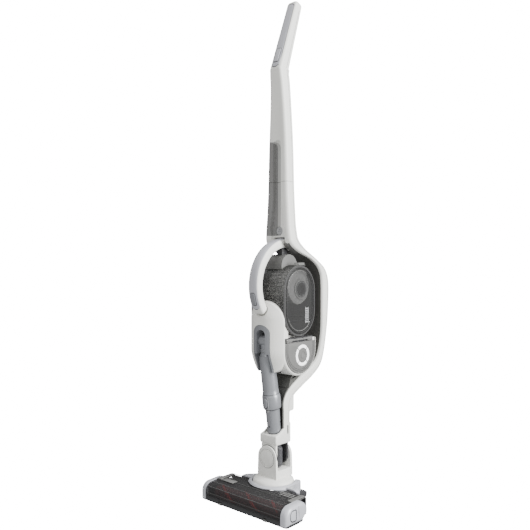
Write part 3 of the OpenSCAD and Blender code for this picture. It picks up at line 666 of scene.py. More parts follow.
def build_loop():
    rings = []
    first, last, steps = 84, 219, 90
    for i in range(steps + 1):
        angle = first + (last - first) * i / steps
        end = max(0.0, 1 - (last - angle) / 6.5)
        shrink = math.sqrt(max(0.03, 1 - end * end))
        rings.append(loop_ring(angle, super_ring(LOOP_HW * shrink, LOOP_T / 2 * shrink,
                                                 LOOP_R - LOOP_T / 2, 3.6)))
    loop = smooth(loft("loop_handle_skin", rings, WHITE), 60)
    finish_piece(loop, "hand_vac", "white_shell", "loop_handle")
    post = smooth(bevel(box("loop_post", (-9, 20, 552), (9, 40, 580), DARK), 3))
    finish_piece(post, "hand_vac", "dark_plastic")
    for name, mat, half, lift, a0, a1, slot in (
            ("loop_joint", DARK, 11.6, 0.2, 91, 209.4, "dark_plastic"),
            ("loop_grip_skin", LIGHT_SILVER, 12.4, 0.75, 92, 208.6, "silver_plastic")):
        rings = []
        for i in range(97):
            angle = a0 + (a1 - a0) * i / 96
            near = (a1 - angle) * LOOP_R * math.pi / 180
            round_end = math.sqrt(max(0.0, 1 - max(0.0, 1 - near / 8) ** 2))
            w = half * (0.3 + 0.7 * round_end)
            shape = []
            for k in range(17):
                x = w * (1 - 2 * k / 16)
                shape.append((x, LOOP_R - 1.9 * (abs(x) / 12) ** 3 + lift * (0.3 + 0.7 * round_end)))
            shape += [(-w, LOOP_R - 4), (w, LOOP_R - 4)]
            rings.append(loop_ring(angle, shape))
        piece = smooth(loft(name, rings, mat), 50)
        finish_piece(piece, "hand_vac", slot, *(["loop_grip"] if mat is LIGHT_SILVER else []))
    for name, mat, x, grow, high, body, slot in (
            ("hand_switch_rim", DARK, 7.6, 1.0, 1.1, "hand_vac", "dark_plastic"),
            ("hand_switch_skin", SILVER, 6.6, 0, 2.1, "vac_switch", "silver_plastic")):
        rings = []
        for i in range(21):
            angle = 188.2 - grow * 0.6 + (15 + grow * 1.2) * i / 20
            near = min(i, 20 - i) / 20 * 28
            round_end = math.sqrt(max(0.0, 1 - max(0.0, 1 - near / 5) ** 2))
            w = x * (0.45 + 0.55 * round_end)
            top = LOOP_R + high * (0.75 + 0.25 * round_end)
            shape = [(w, LOOP_R - 3), (w, top - 0.7), (w - 0.7, top), (0, top + 0.25)]
            shape += [(-x, r) for x, r in shape[2::-1]]
            rings.append(loop_ring(angle, shape))
        piece = smooth(loft(name, rings, mat), 40)
        finish_piece(piece, body, slot, *(["hand_switch"] if mat is SILVER else []))


def belly(r, top, n=26):
    side = arc(BELLY_Y, BELLY_Z, r, r, 180, 360, n)
    return side + [(BELLY_Y + r, top), (BELLY_Y - r, top)]


def shield_outline(n=40):
    feet = arc(-12, 340, 38, 46, 180, 270, 12) + arc(12, 340, 38, 46, 270, 360, 12)
    return arc(0, 410, 50, 46, 0, 180, n) + feet


def build_shield():
    """The bulging front of the lower housing, closed at its back."""
    rings = []
    outline = shield_outline()
    layers = 14
    for i in range(layers + 1):
        scale = 1 - (i / layers) ** 3 * 0.999
        ring = []
        for x, z in outline:
            px, pz = x * scale, 384 + (z - 384) * scale
            bulge = 23.5 * (1 - (abs(px) / 50) ** 2.2)
            low = 14 * step(345, 292, pz)
            high = 9 * step(415, 458, pz)
            ring.append(place(px, -21.5 - bulge + low + high, pz))
        rings.append(ring)
    back = [place(x, -2, z) for x, z in outline]
    return loft("shield", [back] + rings, WHITE)


def build_lower_housing():
    body = bevel(prism("lower_housing_skin", belly(BELLY_R, 402), -VAC_HW, VAC_HW, WHITE), 7, 5, 60)
    cut(body, build_shield(), "UNION")
    melt(body, 1.0, 10)
    cut(body, prism("bowl_room", stadium(BOWL_R + 0.4), -60, 60, DARK))
    panel = arc(BELLY_Y, BELLY_Z, PANEL_R + 1.2, PANEL_R + 1.2, 180, 360, 32)
    panel += [(BELLY_Y + PANEL_R + 1.2, 420), (BELLY_Y - PANEL_R - 1.2, 420)]
    cut(body, prism("panel_room", panel, 45.6, 60, WHITE))
    cut(body, box("hinge_room", (36, -3, PANEL_TOP), (60, 58, 395), WHITE))
    recess = [(x, z) for x, z in arc(0, 384, 24.6, 19, 0, 180, 20)] + [(-24.6, 270), (24.6, 270)]
    cut(body, prism("recess_room", recess, -60, 7.5, WHITE, "y"))
    cut(body, box("rear_horn", (-60, 58, PANEL_TOP + 6), (60, 110, 480), WHITE))
    cut(body, foot_room())
    finish_piece(smooth(body, 45), "hand_vac", "white_shell", "lower_housing")


def foot_room():
    """The hollow in the shield's top that the loop's foot sits in."""
    rings = []
    for i in range(13):
        angle = 196 + 25.5 * i / 12
        end = max(0.0, (angle - 213) / 8.5)
        shrink = math.sqrt(max(0.03, 1 - min(1, end) ** 2))
        rings.append(loop_ring(angle, super_ring((LOOP_HW + 3) * shrink, (LOOP_T / 2 + 3.2) * shrink,
                                                 LOOP_R - LOOP_T / 2 + 1, 2.8)))
    return loft("foot_room", rings, WHITE)


def wand_void():
    """The room that the stowed wand and its knuckle need in the recess."""
    rings = []
    for w in (26, 150):
        corners = ((20.2, -60), (20.2, 19.9), (-20.2, 19.9), (-20.2, -60))
        rings.append([wand_point(x, y, w) for x, y in corners])
    void = loft("void", rings, SILVER)
    slot = arc(0, 381, 12.6, 11, 0, 180, 12) + [(-12.6, 330), (12.6, 330)]
    return cut(void, prism("slot", slot, -70, -10.5, SILVER, "y"), "UNION")


def wand_point(x, y, w):
    """A point in the wand's own frame, w millimetres down from its pivot."""
    c, s = math.cos(WAND_LEAN), math.sin(WAND_LEAN)
    return place(x, WAND_PIVOT[1] + y * c + w * s, WAND_PIVOT[2] + y * s - w * c)


def build_recess():
    liner = arc(0, 384, 24, 18.5, 0, 180, 28) + [(-24, 296), (24, 296)]
    frame_piece = prism("recess_frame_skin", liner, -60, 7, SILVER, "y")
    cut(frame_piece, build_front_envelope(), "INTERSECT")
    cut(frame_piece, wand_void())
    cut(frame_piece, prism("bowl_room", stadium(BOWL_R + 0.3), -60, 60, DARK))
    finish_piece(smooth(bevel(frame_piece, 0.5, 2, 45), 40), "hand_vac", "silver_plastic", "recess_frame")
    pad = [wand_point(x, 19.85, w) for x, w in ((-20, 28), (20, 28), (20, 78), (-20, 78))]
    dark = add("recess_shade", pad + [p + Vector((0, 0.0004, 0)) for p in pad],
               [(0, 1, 2, 3), (7, 6, 5, 4), (0, 4, 5, 1), (1, 5, 6, 2), (2, 6, 7, 3), (3, 7, 4, 0)], DARK)
    finish_piece(dark, "hand_vac", "dark_plastic")


def build_front_envelope():
    body = bevel(prism("envelope", belly(BELLY_R, 402), -VAC_HW, VAC_HW, SILVER), 7, 5, 60)
    cut(body, build_shield(), "UNION")
    return melt(body, 1.5, 5)


def build_panel():
    softened("control_panel", "hand_vac", "grey_plastic", GREY, 1.2)
    for inset, radius in ((5.5, 0.55), (9.5, 0.45)):
        r = PANEL_R - inset
        path = [(50.0, y, z) for y, z in arc(BELLY_Y, BELLY_Z, r, r, 180, 360, 40)]
        path = [(50.0, BELLY_Y - r, 361)] + path + [(50.0, BELLY_Y + r, 361)]
        groove = pipe(f"panel_step_{inset:.0f}", path, radius, DARK, sides=8)
        finish_piece(groove, "hand_vac", "dark_plastic")
    softened("led_ring", "hand_vac", "light_white", LIGHT, 0.25, 2)
    for k in range(4):
        a = math.radians(45 + 90 * k)
        gap = pipe(f"ring_gap_{k}", [(VAC_HW + 0.5, RING_Y + r * math.cos(a), RING_Z + r * math.sin(a))
                                     for r in (18.0, 20.0, 23.0)], 0.8, GREY, sides=8)
        finish_piece(gap, "hand_vac", "grey_plastic")
    dome = [(0.01, -5), (15.9, -5), (15.9, 0.4), (15.2, 1.2), (9, 1.5), (8.4, 0.9), (7.6, 0.9), (7.0, 1.5),
            (0.01, 1.6)]
    button = lathe("power_button_skin", dome, GREY, (VAC_HW, RING_Y, RING_Z), (1, 0, 0))
    finish_piece(button, "vac_button", "grey_plastic", "power_button")
    well = [(16.35, -2), (17.0, -2), (17.0, 0.35), (16.35, 0.35)]
    well = lathe("button_well", well, DARK, (VAC_HW, RING_Y, RING_Z), (1, 0, 0))
    finish_piece(well, "hand_vac", "dark_plastic")
    for k in range(2):
        ends = [(VAC_HW + 1.6, RING_Y - 3 + 6 * k, RING_Z + z) for z in (-4, 4)]
        mark = pipe(f"button_mark_{k}", ends, 0.35, PALE_GREY, sides=8)
        finish_piece(mark, "vac_button", "grey_plastic")


def ring_on_face(name, r0, r1, x0, x1, y, z, mat, body="hand_vac", slot="grey_plastic"):
    profile = [(r0, x0), (r1, x0), (r1, x1 - 0.4), (r1 - 0.5, x1), (r0 + 0.5, x1), (r0, x1 - 0.4)]
    return finish_piece(lathe(name, profile, mat, (0, y, z), (1, 0, 0)), body, slot)


def build_bowl():
    # clear shell of the bowl, its rim and the door with its dark seal
    bowl = smooth(bevel(from_cad("dust_bowl", BOWL), 0.5, 2, 50), 30)
    finish_piece(bowl, "hand_vac", "smoky_clear", "dust_bowl")
    paint(DARK, "vac_chassis")
    outer, inner = stadium(BOWL_R - 0.2, 40), stadium(BOWL_R - 5, 40)
    face = []
    crest = stadium(BOWL_R - 1.8, 40)
    for x, line in ((46.3, outer), (48.6, outer), (50.0, crest), (50.0, inner), (46.3, inner)):
        face.append([place(x, y, z) for y, z in line])
    rim = smooth(loft("door_rim", face, SMOKY_EDGE, closed=True), 40)
    finish_piece(rim, "door", "smoky_clear")
    door = prism("bowl_door_skin", stadium(BOWL_R - 4.9, 40), 46.3, 49.0, SMOKY)
    finish_piece(smooth(bevel(door, 0.8, 2)), "door", "smoky_clear", "bowl_door")
    seal_path = [(49.4, y, z) for y, z in stadium(BOWL_R - 9, 40)]
    finish_piece(pipe("door_seal", seal_path, 1.0, RUBBER, closed=True, sides=10), "door", "black_rubber")
    glint = [(49.3, y, z) for y, z in arc(BOWL_Y, BOWL_LOW, BOWL_R - 13, BOWL_R - 13, 200, 325, 26)]
    finish_piece(pipe("door_step_low", glint, 0.8, CLEAR, sides=8), "door", "smoky_clear")
    glint = [(49.3, y, z) for y, z in arc(BOWL_Y, BOWL_TOP, BOWL_R - 12, BOWL_R - 12, 60, 175, 22)]
    finish_piece(pipe("door_step_high", glint, 0.8, CLEAR, sides=8), "door", "smoky_clear")
    back_line = arc(BOWL_Y, BOWL_TOP, BOWL_R - 3.6, BOWL_R - 3.6, 80, 0, 20)
    back_line += arc(BOWL_Y, BOWL_LOW, BOWL_R - 3.6, BOWL_R - 3.6, 0, -75, 20)
    thick, middle = 1.2, (BOWL_TOP + BOWL_LOW) / 2
    back_line += [(y - thick * (y - BOWL_Y) / BOWL_R, z + (-thick if z > middle else thick))
                  for y, z in back_line[::-1]]
    lining = smooth(prism("bowl_lining", back_line, -17, 40, DARK_GREY_AND_SHADE), 40)
    finish_piece(lining, "hand_vac", "dark_plastic")
    build_cyclone()
    build_gauge()
    build_ribs()
    build_clips()


def build_cyclone():
    paint(SHROUD, "cyclone_shroud")
    paint(FILTER, "filter")
    ring_on_face("cyclone_outer_ring", 19.5, 22.5, 36, 44.5, CYCLONE_Y, CYCLONE_Z, SHROUD)
    ring_on_face("cyclone_mid_ring", 15.5, 17.6, 36, 45.2, CYCLONE_Y, CYCLONE_Z, PALE_GREY)
    ring_on_face("cyclone_mouth", 9.5, 13.2, 30, 45.4, CYCLONE_Y, CYCLONE_Z, DARK, slot="dark_plastic")
    finish_piece(lathe("cyclone_hole", [(0.01, 36.2), (9.4, 36.2), (9.4, 38.4), (0.01, 38.4)], DARK,
                       (0, CYCLONE_Y, CYCLONE_Z), (1, 0, 0)), "hand_vac", "dark_plastic")
    # flat cover over the upper front part of the shroud, cut off at a slant
    slant = arc(SHROUD_Y, SHROUD_Z, 41, 41, 47, 262, 40)
    cover = prism("shroud_cover", slant, 38.2, 42.0, SHROUD)
    core = prism("core", disc(CYCLONE_Y, CYCLONE_Z, 23.2, 48), 30, 60, SHROUD)
    finish_piece(smooth(bevel(cut(cover, core), 0.6, 2)), "hand_vac", "grey_plastic")
    for k in range(26):
        a = math.radians(360 / 26 * k)
        y, z = SHROUD_Y + 40.3 * math.cos(a), SHROUD_Z + 40.3 * math.sin(a)
        rib = pipe(f"shroud_rib_{k:02d}", [(-12, y, z), (35, y, z)], 0.7, GREY, sides=6)
        finish_piece(rib, "hand_vac", "dark_plastic")


def build_gauge():
    """A plain ladder of level marks on the door, and the fill line beside it."""
    for k in range(8):
        mark = box(f"level_mark_{k}", (49.0, 55, 405 + k * 4.4), (49.35, 65.5, 407.2 + k * 4.4), PALE_GREY)
        finish_piece(mark, "door", "grey_plastic")
    for k, y in enumerate((54.6, 65.4)):
        rail = box(f"level_rail_{k}", (49.0, y, 403.5), (49.3, y + 0.9, 440.5), PALE_GREY)
        finish_piece(rail, "door", "grey_plastic")
    for name, first, last, height, slope, middle, radius in (
            ("fill_line", -8, 80, 411, 0.02, 35, 0.5), ("fill_line_high", -6, 54, 421.5, -0.05, 20, 0.45)):
        path = [(49.2, y, height + slope * (y - middle)) for y in range(first, last, 6)]
        finish_piece(pipe(name, path, radius, DARK, sides=8), "door", "dark_plastic")


def build_ribs():
    """Ribs inside the clear wall, seen through its front."""
    for k in range(5):
        z = 470 + k * 11
        inner = BOWL_R - 3.4
        y = BOWL_Y - math.sqrt(max(0.0, inner ** 2 - max(0.0, z - BOWL_TOP) ** 2))
        rib = box(f"wall_rib_{k}", (-8 + 2 * k, y, z), (24 - 2 * k, y + 2.2, z + 4.2), INLAY)
        finish_piece(rib, "hand_vac", "dark_plastic")
    for k in range(6):
        x, front = 4 + 5 * k, BOWL_Y - BOWL_R
        rib = box(f"wall_bar_{k}", (x, front + 3, 432), (x + 2, front + 6, 456), INLAY)
        finish_piece(rib, "hand_vac", "dark_plastic")


def build_clips():
    softened("bowl_latch", "door_latch", "smoky_clear", CLEAR, 1.0)
    bar = smooth(bevel(box("latch_plate", (36, 22, 535.6), (50, 54, 537.0), CLEAR), 0.5, 2))
    finish_piece(bar, "hand_vac", "smoky_clear")
    softened("motor_dome", "hand_vac", "grey_plastic", GREY, 5.0, 4)
    finish_piece(pipe("hinge_bar", [(51.0, y, 368.5) for y in range(-8, 79, 4)], 2.2, CLEAR, sides=12),
                 "hand_vac", "smoky_clear")
    for k, (lo, hi) in enumerate(((-14, 4), (60, 76))):
        clip = smooth(bevel(box(f"hinge_clip_{k}", (47.5, lo, 363.5), (52.5, hi, 371.5), CLEAR), 1.4))
        finish_piece(clip, "hand_vac", "smoky_clear")
    # a dark box under the door's hinge, beside the shield: painted shade
    shade = box("hinge_shade", (30, -14, 362.2), (47.2, 84, 372.8), DARK)
    cut(shade, prism("bowl_room", stadium(BOWL_R + 0.5), -60, 60, DARK))
    finish_piece(shade, "hand_vac", "dark_plastic")


build_loop()
build_lower_housing()
build_recess()
build_panel()
build_bowl()


# ------------------------------------------------------------------ wand
def wand_lathe(name, profile, mat, body, slot, *nodes):
    """Turns (radius, distance from the pivot) pairs about the wand's axis."""
    down = (0, math.sin(WAND_LEAN), -math.cos(WAND_LEAN))
    return finish_piece(lathe(name, profile, mat, WAND_PIVOT, down), body, slot, *nodes)


def build_wand():
    tube = [(17.0, 33), (17.0, 124), (16.62, 155.9), (18.6, 155.9), (20.6, 154.6), (21.2, 151), (21.4, 146),
            (21.2, 128), (20.2, 124.5), (18.9, 122.6), (18.9, 118.5), (18.5, 117.6), (18.3, 110), (18.0, 44),
            (17.2, 36), (15.4, 30.5), (13.2, 28), (13.2, 25.4), (12.4, 24.8), (12.4, 22.6), (13.3, 22.0),
            (13.3, 19.2), (12.3, 18.4), (11.4, 17.8), (11.2, 6), (6, 6), (6, 33)]
    wand_lathe("wand_tube_skin", tube, SILVER, "wand", "silver_plastic", "wand_tube")
    eye = prism("wand_eye", disc(WAND_PIVOT[1], WAND_PIVOT[2], 12, 48), -11.8, 11.8, SILVER)
    eye = bevel(eye, 1.6, 3, 50)
    finish_piece(smooth(eye, 40), "wand", "silver_plastic")
    for w, r in ((18.0, 11.9), (24.0, 12.9)):
        loop = [wand_point((r + 0.05) * math.cos(a), (r + 0.05) * math.sin(a), w)
                for a in angles(40)]
        finish_piece(ring_bar(f"wand_band_{w:.0f}", loop, 0.45, PALE_GREY), "wand", "grey_plastic")
    for w, r in ((121.5, 18.75), (156.0, 19.2)):
        loop = [wand_point(r * math.cos(a), r * math.sin(a), w) for a in angles(60)]
        finish_piece(ring_bar(f"wand_joint_{w:.0f}", loop, 0.6, DARK), "wand", "dark_plastic")
    tip = [(14.6, 95), (16.5, 95), (16.5, 203), (16.5, 205), (17.0, 208), (17.0, 211), (14.6, 211)]
    wand_lathe("wand_extension_skin", tip, SILVER, "wand_tip", "silver_plastic", "wand_extension")
    for k, (turn, w) in enumerate(((-90, 196), (14, 188))):
        a = math.radians(turn)
        ring = [(0.01, 15.5), (1.9, 15.5), (1.9, 16.58), (0.01, 16.58)]
        spot = Vector((math.cos(a), math.sin(a) * math.cos(WAND_LEAN), math.sin(a) * math.sin(WAND_LEAN)))
        centre = Vector(WAND_PIVOT) + Vector((0, w * math.sin(WAND_LEAN), -w * math.cos(WAND_LEAN)))
        hole = lathe(f"wand_hole_{k}", ring, DARK, centre, spot, 20)
        finish_piece(hole, "wand_tip", "dark_plastic")
    build_wand_latch()


def ring_bar(name, centres, radius, mat, sides=8):
    rings = []
    count = len(centres)
    middle = sum(centres, Vector()) / count
    for i, p in enumerate(centres):
        ahead = (centres[(i + 1) % count] - centres[i - 1]).normalized()
        out = (p - middle).normalized()
        up = out.cross(ahead)
        rings.append([p + (out * math.cos(a) + up * math.sin(a)) * radius * MM
                      for a in angles(sides)])
    return smooth(loft(name, rings, mat, closed=True), 60)


def oval_pad(name, half_x, w0, w1, base, top, mat, n=36):
    """A raised oval on the wand's front."""
    rings = []
    for lift, shrink in ((base, 1.0), (top - 0.8, 1.0), (top - 0.2, 0.9), (top, 0.7), (top + 0.1, 0.35)):
        mid, half = (w0 + w1) / 2, (w1 - w0) / 2
        ring = []
        for k in range(n):
            a = 2 * math.pi * k / n
            x = half_x * shrink * math.cos(a)
            w = mid + half * (1 - (1 - shrink) * half_x / half) * math.sin(a)
            ring.append(wand_point(x, -(lift - 0.028 * x * x), w))
        rings.append(ring)
    return smooth(loft(name, rings, mat), 50)


def build_wand_latch():
    finish_piece(oval_pad("latch_well", 7.0, 126, 153, 17, 21.7, DARK), "wand", "dark_plastic")
    finish_piece(oval_pad("wand_latch_skin", 6.0, 127.5, 150.5, 18, 23.3, SILVER), "wand_button",
                 "silver_plastic", "wand_latch")
    tongue = oval_pad("latch_tongue", 4.2, 153.5, 163, 15.5, 17.6, PALE_GREY)
    finish_piece(tongue, "wand_tip", "grey_plastic")
    glint = [wand_point(7.6, -20.6, w) for w in range(126, 154, 3)]
    glint += [wand_point(7.6 - 0.22 * (w - 153) ** 1.4, -20.3 + 0.25 * (w - 153), w) for w in (155, 157, 159)]
    finish_piece(open_bar("latch_edge", glint, 0.55, PALE_GREY), "wand", "grey_plastic")


def open_bar(name, pts, radius, mat, sides=8):
    rings = []
    for i, p in enumerate(pts):
        ahead = (pts[min(i + 1, len(pts) - 1)] - pts[max(i - 1, 0)]).normalized()
        side = ahead.cross(Vector((1, 0, 0.01))).normalized()
        up = side.cross(ahead)
        rings.append([p + (side * math.cos(a) + up * math.sin(a)) * radius * MM
                      for a in angles(sides)])
    return smooth(loft(name, rings, mat), 60)


# ------------------------------------------------------------------ neck
def build_neck():
    # cup: rims rise from the front to the side walls of the spine
    cup = [(-17.0, 131), (YOKE_REAR - 0.2, 131), (YOKE_REAR - 0.2, 177), (21, 176), (13, 170), (5, 164),
           (-4, 158), (-12, 154.5), (-19.6, 153), (-20, 137)]
    yoke = bevel(prism("frame_yoke_skin", cup, -25, 25, WHITE), 3.2, 4, 35)
    seat = [[wand_point(x, y, w) for x, y in arc(0, -4, 20.6, 22.4, 0, 350, 35)] for w in (100, 213.2)]
    cut(yoke, loft("seat", seat, WHITE))
    cut(yoke, box("channel", (-20.5, -3, 153), (20.5, 22.5, 190), WHITE))
    duct = [(0.01, 100), (15.2, 100), (15.2, 142), (0.01, 142)]
    cut(yoke, lathe("duct", duct, WHITE, (0, 5, 0), (0, 0, 1)))
    for k, (y0, y1) in enumerate(((-17.2, -11.5), (21.2, 26.9))):
        outline = arc(0, 102, 22, 22, 180, 360, 30) + [(22, 133), (-22, 133)]
        lug = bevel(prism(f"yoke_lug_{k}", outline, y0, y1, DARK if k else WHITE, "y"), 1.2, 3, 50)
        finish_piece(smooth(lug, 40), "frame", "dark_plastic" if k else "white_shell")
    finish_piece(smooth(yoke, 45), "frame", "white_shell", "frame_yoke")
    build_fork()
    build_hose()
    dome = [(37, 44), (37, 40.4), (48.0, 40.6), (47.6, 45), (45.9, 49.4), (45.0, 51.6), (42, 53.4),
            (37, 55.6),
            (33, 57.4), (30, 58.2), (14, 58.2), (14, 44)]
    skin = lathe("tilt_dome_skin", dome, WHITE, (0, 0, 0), (0, 0, 1), 96)
    cut(skin, box("rear_trim", (-60, 36, 0), (60, 80, 80), WHITE))
    finish_piece(smooth(skin, 45), "neck", "white_shell", "tilt_dome")
    for k, side in enumerate((-1, 1)):
        cheek = bevel(prism(f"tilt_cheek_{k}", disc(0, 32, 11.8, 40), min(side * 38, side * 45.6),
                            max(side * 38, side * 45.6), WHITE), 1, 2, 50)
        finish_piece(smooth(cheek, 40), "neck", "white_shell")


def ear_outline(r, base, n=36):
    return arc(0, 102, r, r, 0, 180, n) + [(-r - 1, base), (r + 1, base)]


def build_fork():
    fork = prism("neck_fork_skin", [(-28, 56), (28, 56), (28, 75.5), (-28, 75.5)], -23, 34, WHITE, "y")
    for k, (y0, y1) in enumerate(((-23, -17.6), (27.3, 34))):
        cut(fork, prism(f"fork_ear_{k}", ear_outline(27, 70), y0, y1, WHITE, "y"), "UNION")
    finish_piece(smooth(bevel(fork, 1.4, 3, 50), 40), "neck", "white_shell", "neck_fork")
    boss = [(0.01, 22), (20.6, 22), (20.6, 23.2), (19.9, 24.2), (18.8, 24.5), (18.0, 24.0),
            (17.4, 24.4), (13, 25.3),
            (7, 25.9), (0.01, 26.1)]
    cap = lathe("pivot_cap_skin", boss, WHITE, (0, 0, 100), (0, -1, 0))
    finish_piece(cap, "neck", "white_shell", "pivot_cap")
    # a dark arc just outside the front ear's rim: painted shadow of the gap between the ear and the yoke
    shadow_arc = [place(27.5 * math.cos(a), -19.0, 102 + 27.5 * math.sin(a)) for a in
             (math.radians(-4 + 188 * k / 40) for k in range(41))]
    finish_piece(open_bar("ear_shadow_line", shadow_arc, 0.7, DARK), "neck", "dark_plastic")
    groove = [place(20.9 * math.cos(a), -23.1, 100 + 20.9 * math.sin(a))
              for a in (2 * math.pi * k / 48 for k in range(48))]
    finish_piece(ring_bar("boss_line", groove, 0.45, INLAY), "neck", "grey_plastic")
    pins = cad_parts["steering_pins"]
    pins.data.materials.clear()
    pins.data.materials.append(STEEL)


def build_hose():
    """The suction hose in the fork."""
    profile = [(10.2, 60), (14.6, 60)]
    z = 62.0
    while z < 80:
        profile += [(14.6 - 0.09 * (z - 62), z), (13.9 - 0.09 * (z - 62), z + 1.5)]
        z += 3
    while z < 124:
        profile += [(12.9, z), (12.9, z + 1.4), (11.9, z + 1.9), (11.9, z + 2.6)]
        z += 3.1
    profile += [(12.2, 127.4), (10.2, 127.4)]
    hose = lathe("neck_hose_skin", profile, HOSE, (0, 5, 0), (0, 0, 1), 64)
    for vert in hose.data.vertices:
        vert.co.x *= 1.0 + 0.55 * step(74, 84, vert.co.z / MM) * step(127, 119, vert.co.z / MM)
    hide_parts("neck_hose")
    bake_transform(hose)
    softened("hose_cuff", "frame", "grey_plastic", PALE_GREY, 0.8)


# ------------------------------------------------------------------ floor head
HEAD_FRONT, HEAD_H, CORE_HW = -107, 43, 111.8


def head_line(inset, y_end=-20.0):
    """The head's side outline, from its lower front edge up and over to the rear."""
    nose = arc(HEAD_FRONT + 19, 22, 19 - inset, 18 - inset, 180, 90, 16)
    roof = [(-66, 41.5 - inset), (-45, HEAD_H - inset), (y_end, HEAD_H - inset)]
    return [(HEAD_FRONT + inset, 12.3)] + nose + roof


def build_head():
    outer, inner = head_line(0), head_line(2.2)
    shell = prism("head_cover_skin", outer + inner[::-1], -CORE_HW, CORE_HW, COVER)
    trim = loft("dome_room", [[place(50.2 * math.cos(a), 50.2 * math.sin(a), z)
                               for a in angles(72)] for z in (20, 60)], COVER)
    cut(shell, trim)
    finish_piece(smooth(bevel(shell, 0.6, 2, 50), 35), "floor_head", "smoky_clear", "head_cover")
    paint(DARK, "head_base", "sole_plate", "brush_core", "brush_motor")
    paint(STEEL, "brush_bearings", "wheel_axles", "tilt_pins", "head_screws")
    paint(RUBBER, "drive_belt")
    paint(GREY, "motor_pulley", "front_rollers")
    build_inner_walls()
    build_front_screen()
    build_cover_ribs()
    build_brush()
    build_caps()
    build_saddle()
    build_wheels()


def build_cover_ribs():
    """Moulded ribs and lips of the clear cover, and the grey end patches."""
    for k, (y, z, wide, high, mat) in enumerate((
            (-105.6, 13.0, 111, 1.3, DARK), (-106.0, 20.5, 110, 0.9, GREY),
            (-101.6, 33.5, 109, 1.1, SMOKY_EDGE),
            (-88.0, 40.1, 108, 1.0, SMOKY_EDGE), (-62.0, 41.9, 104, 0.8, SMOKY_EDGE))):
        path = [(x, y, z) for x in (-wide, -wide / 2, 0, wide / 2, wide)]
        finish_piece(pipe(f"cover_rib_{k}", path, high, mat, sides=10), "floor_head", "smoky_clear")
    for k in range(3):
        y = -52 + 7 * k
        vent = box(f"cover_vent_{k}", (62 - 5 * k, y, 42.4), (100 - 3 * k, y + 2.2, 43.3), INLAY)
        vent = smooth(bevel(vent, 0.4, 2))
        finish_piece(vent, "floor_head", "grey_plastic")
    for k, side in enumerate((-1, 1)):
        x0, x1 = sorted((side * 99, side * 111.6))
        patch = smooth(bevel(box(f"corner_patch_{k}", (x0, -70, 39.5), (x1, -24, 43.5), GREY), 0.9))
        finish_piece(patch, "floor_head", "grey_plastic")
    plate = smooth(bevel(box("front_plate", (-95, -72, 42.2), (-60, -56, 43.0), GREY), 0.35, 2))
    finish_piece(plate, "floor_head", "grey_plastic")


def build_inner_walls():
    """The well round the dome and the head's rear wall, seen through the clear cover."""
    well = arc(0, 0, 51.6, 51.6, 200, 340, 40) + arc(0, 0, 50.6, 50.6, 340, 200, 40)
    wall = loft("dome_well", [[place(x, y, z) for x, y in well] for z in (4, 40)], DARK)
    finish_piece(smooth(wall, 40), "floor_head", "dark_plastic")
    for k, side in enumerate((-1, 1)):
        for name, near, far, y0, y1, z0, z1 in (
                ("rear_wall", 47, 112.2, -22.6, -21.4, 4, 40), ("brush_screen", 94.8, 111, -98, -62, 5, 8)):
            x0, x1 = sorted((side * near, side * far))
            screen = box(f"{name}_{k}", (x0, y0, z0), (x1, y1, z1), DARK)
            finish_piece(screen, "floor_head", "dark_plastic")


def build_front_screen():
    """The dark lip behind the front rollers."""
    screen = smooth(bevel(box("front_screen", (-111, -99.6, 2.0), (111, -98.6, 13.5), DARK), 0.3, 2))
    finish_piece(screen, "floor_head", "dark_plastic")


def build_brush():
    """A soft pile on the brush roll, with two spiral rows of bristle tufts."""
    pile = [(BRUSH_CORE_R, -94.5), (PILE_R, -94.5), (PILE_R, 94.5), (BRUSH_CORE_R, 94.5)]
    pile = lathe("brush_pile", pile, PILE, (0, BRUSH_Y, BRUSH_Z), (1, 0, 0), 48)
    finish_piece(pile, "brush_roll", "bristle")
    for row in range(2):
        rings = []
        for i in range(161):
            x = -94 + 188 * i / 160
            a = math.radians(456 * i / 160 + 180 * row + 60)
            ragged = 0.5 * math.sin(i * 2.4) + 0.4 * math.sin(i * 5.1 + row)
            tip = TUFT_R + ragged * 0.4
            c, s = math.cos(a), math.sin(a)
            ring = []
            half = ((1, BRUSH_CORE_R), (0.9, 14), (1.25, tip))
            for side, r in [(-wide, r) for wide, r in half] + list(half[::-1]):
                ring.append(place(x, BRUSH_Y + r * c - side * 2.6 * s, BRUSH_Z + r * s + side * 2.6 * c))
            rings.append(ring)
        piece = smooth(loft(f"brush_bristles_skin_{row}", rings, RED), 30)
        finish_piece(piece, "brush_roll", "bristle", *(["brush_bristles"] if row == 0 else []))


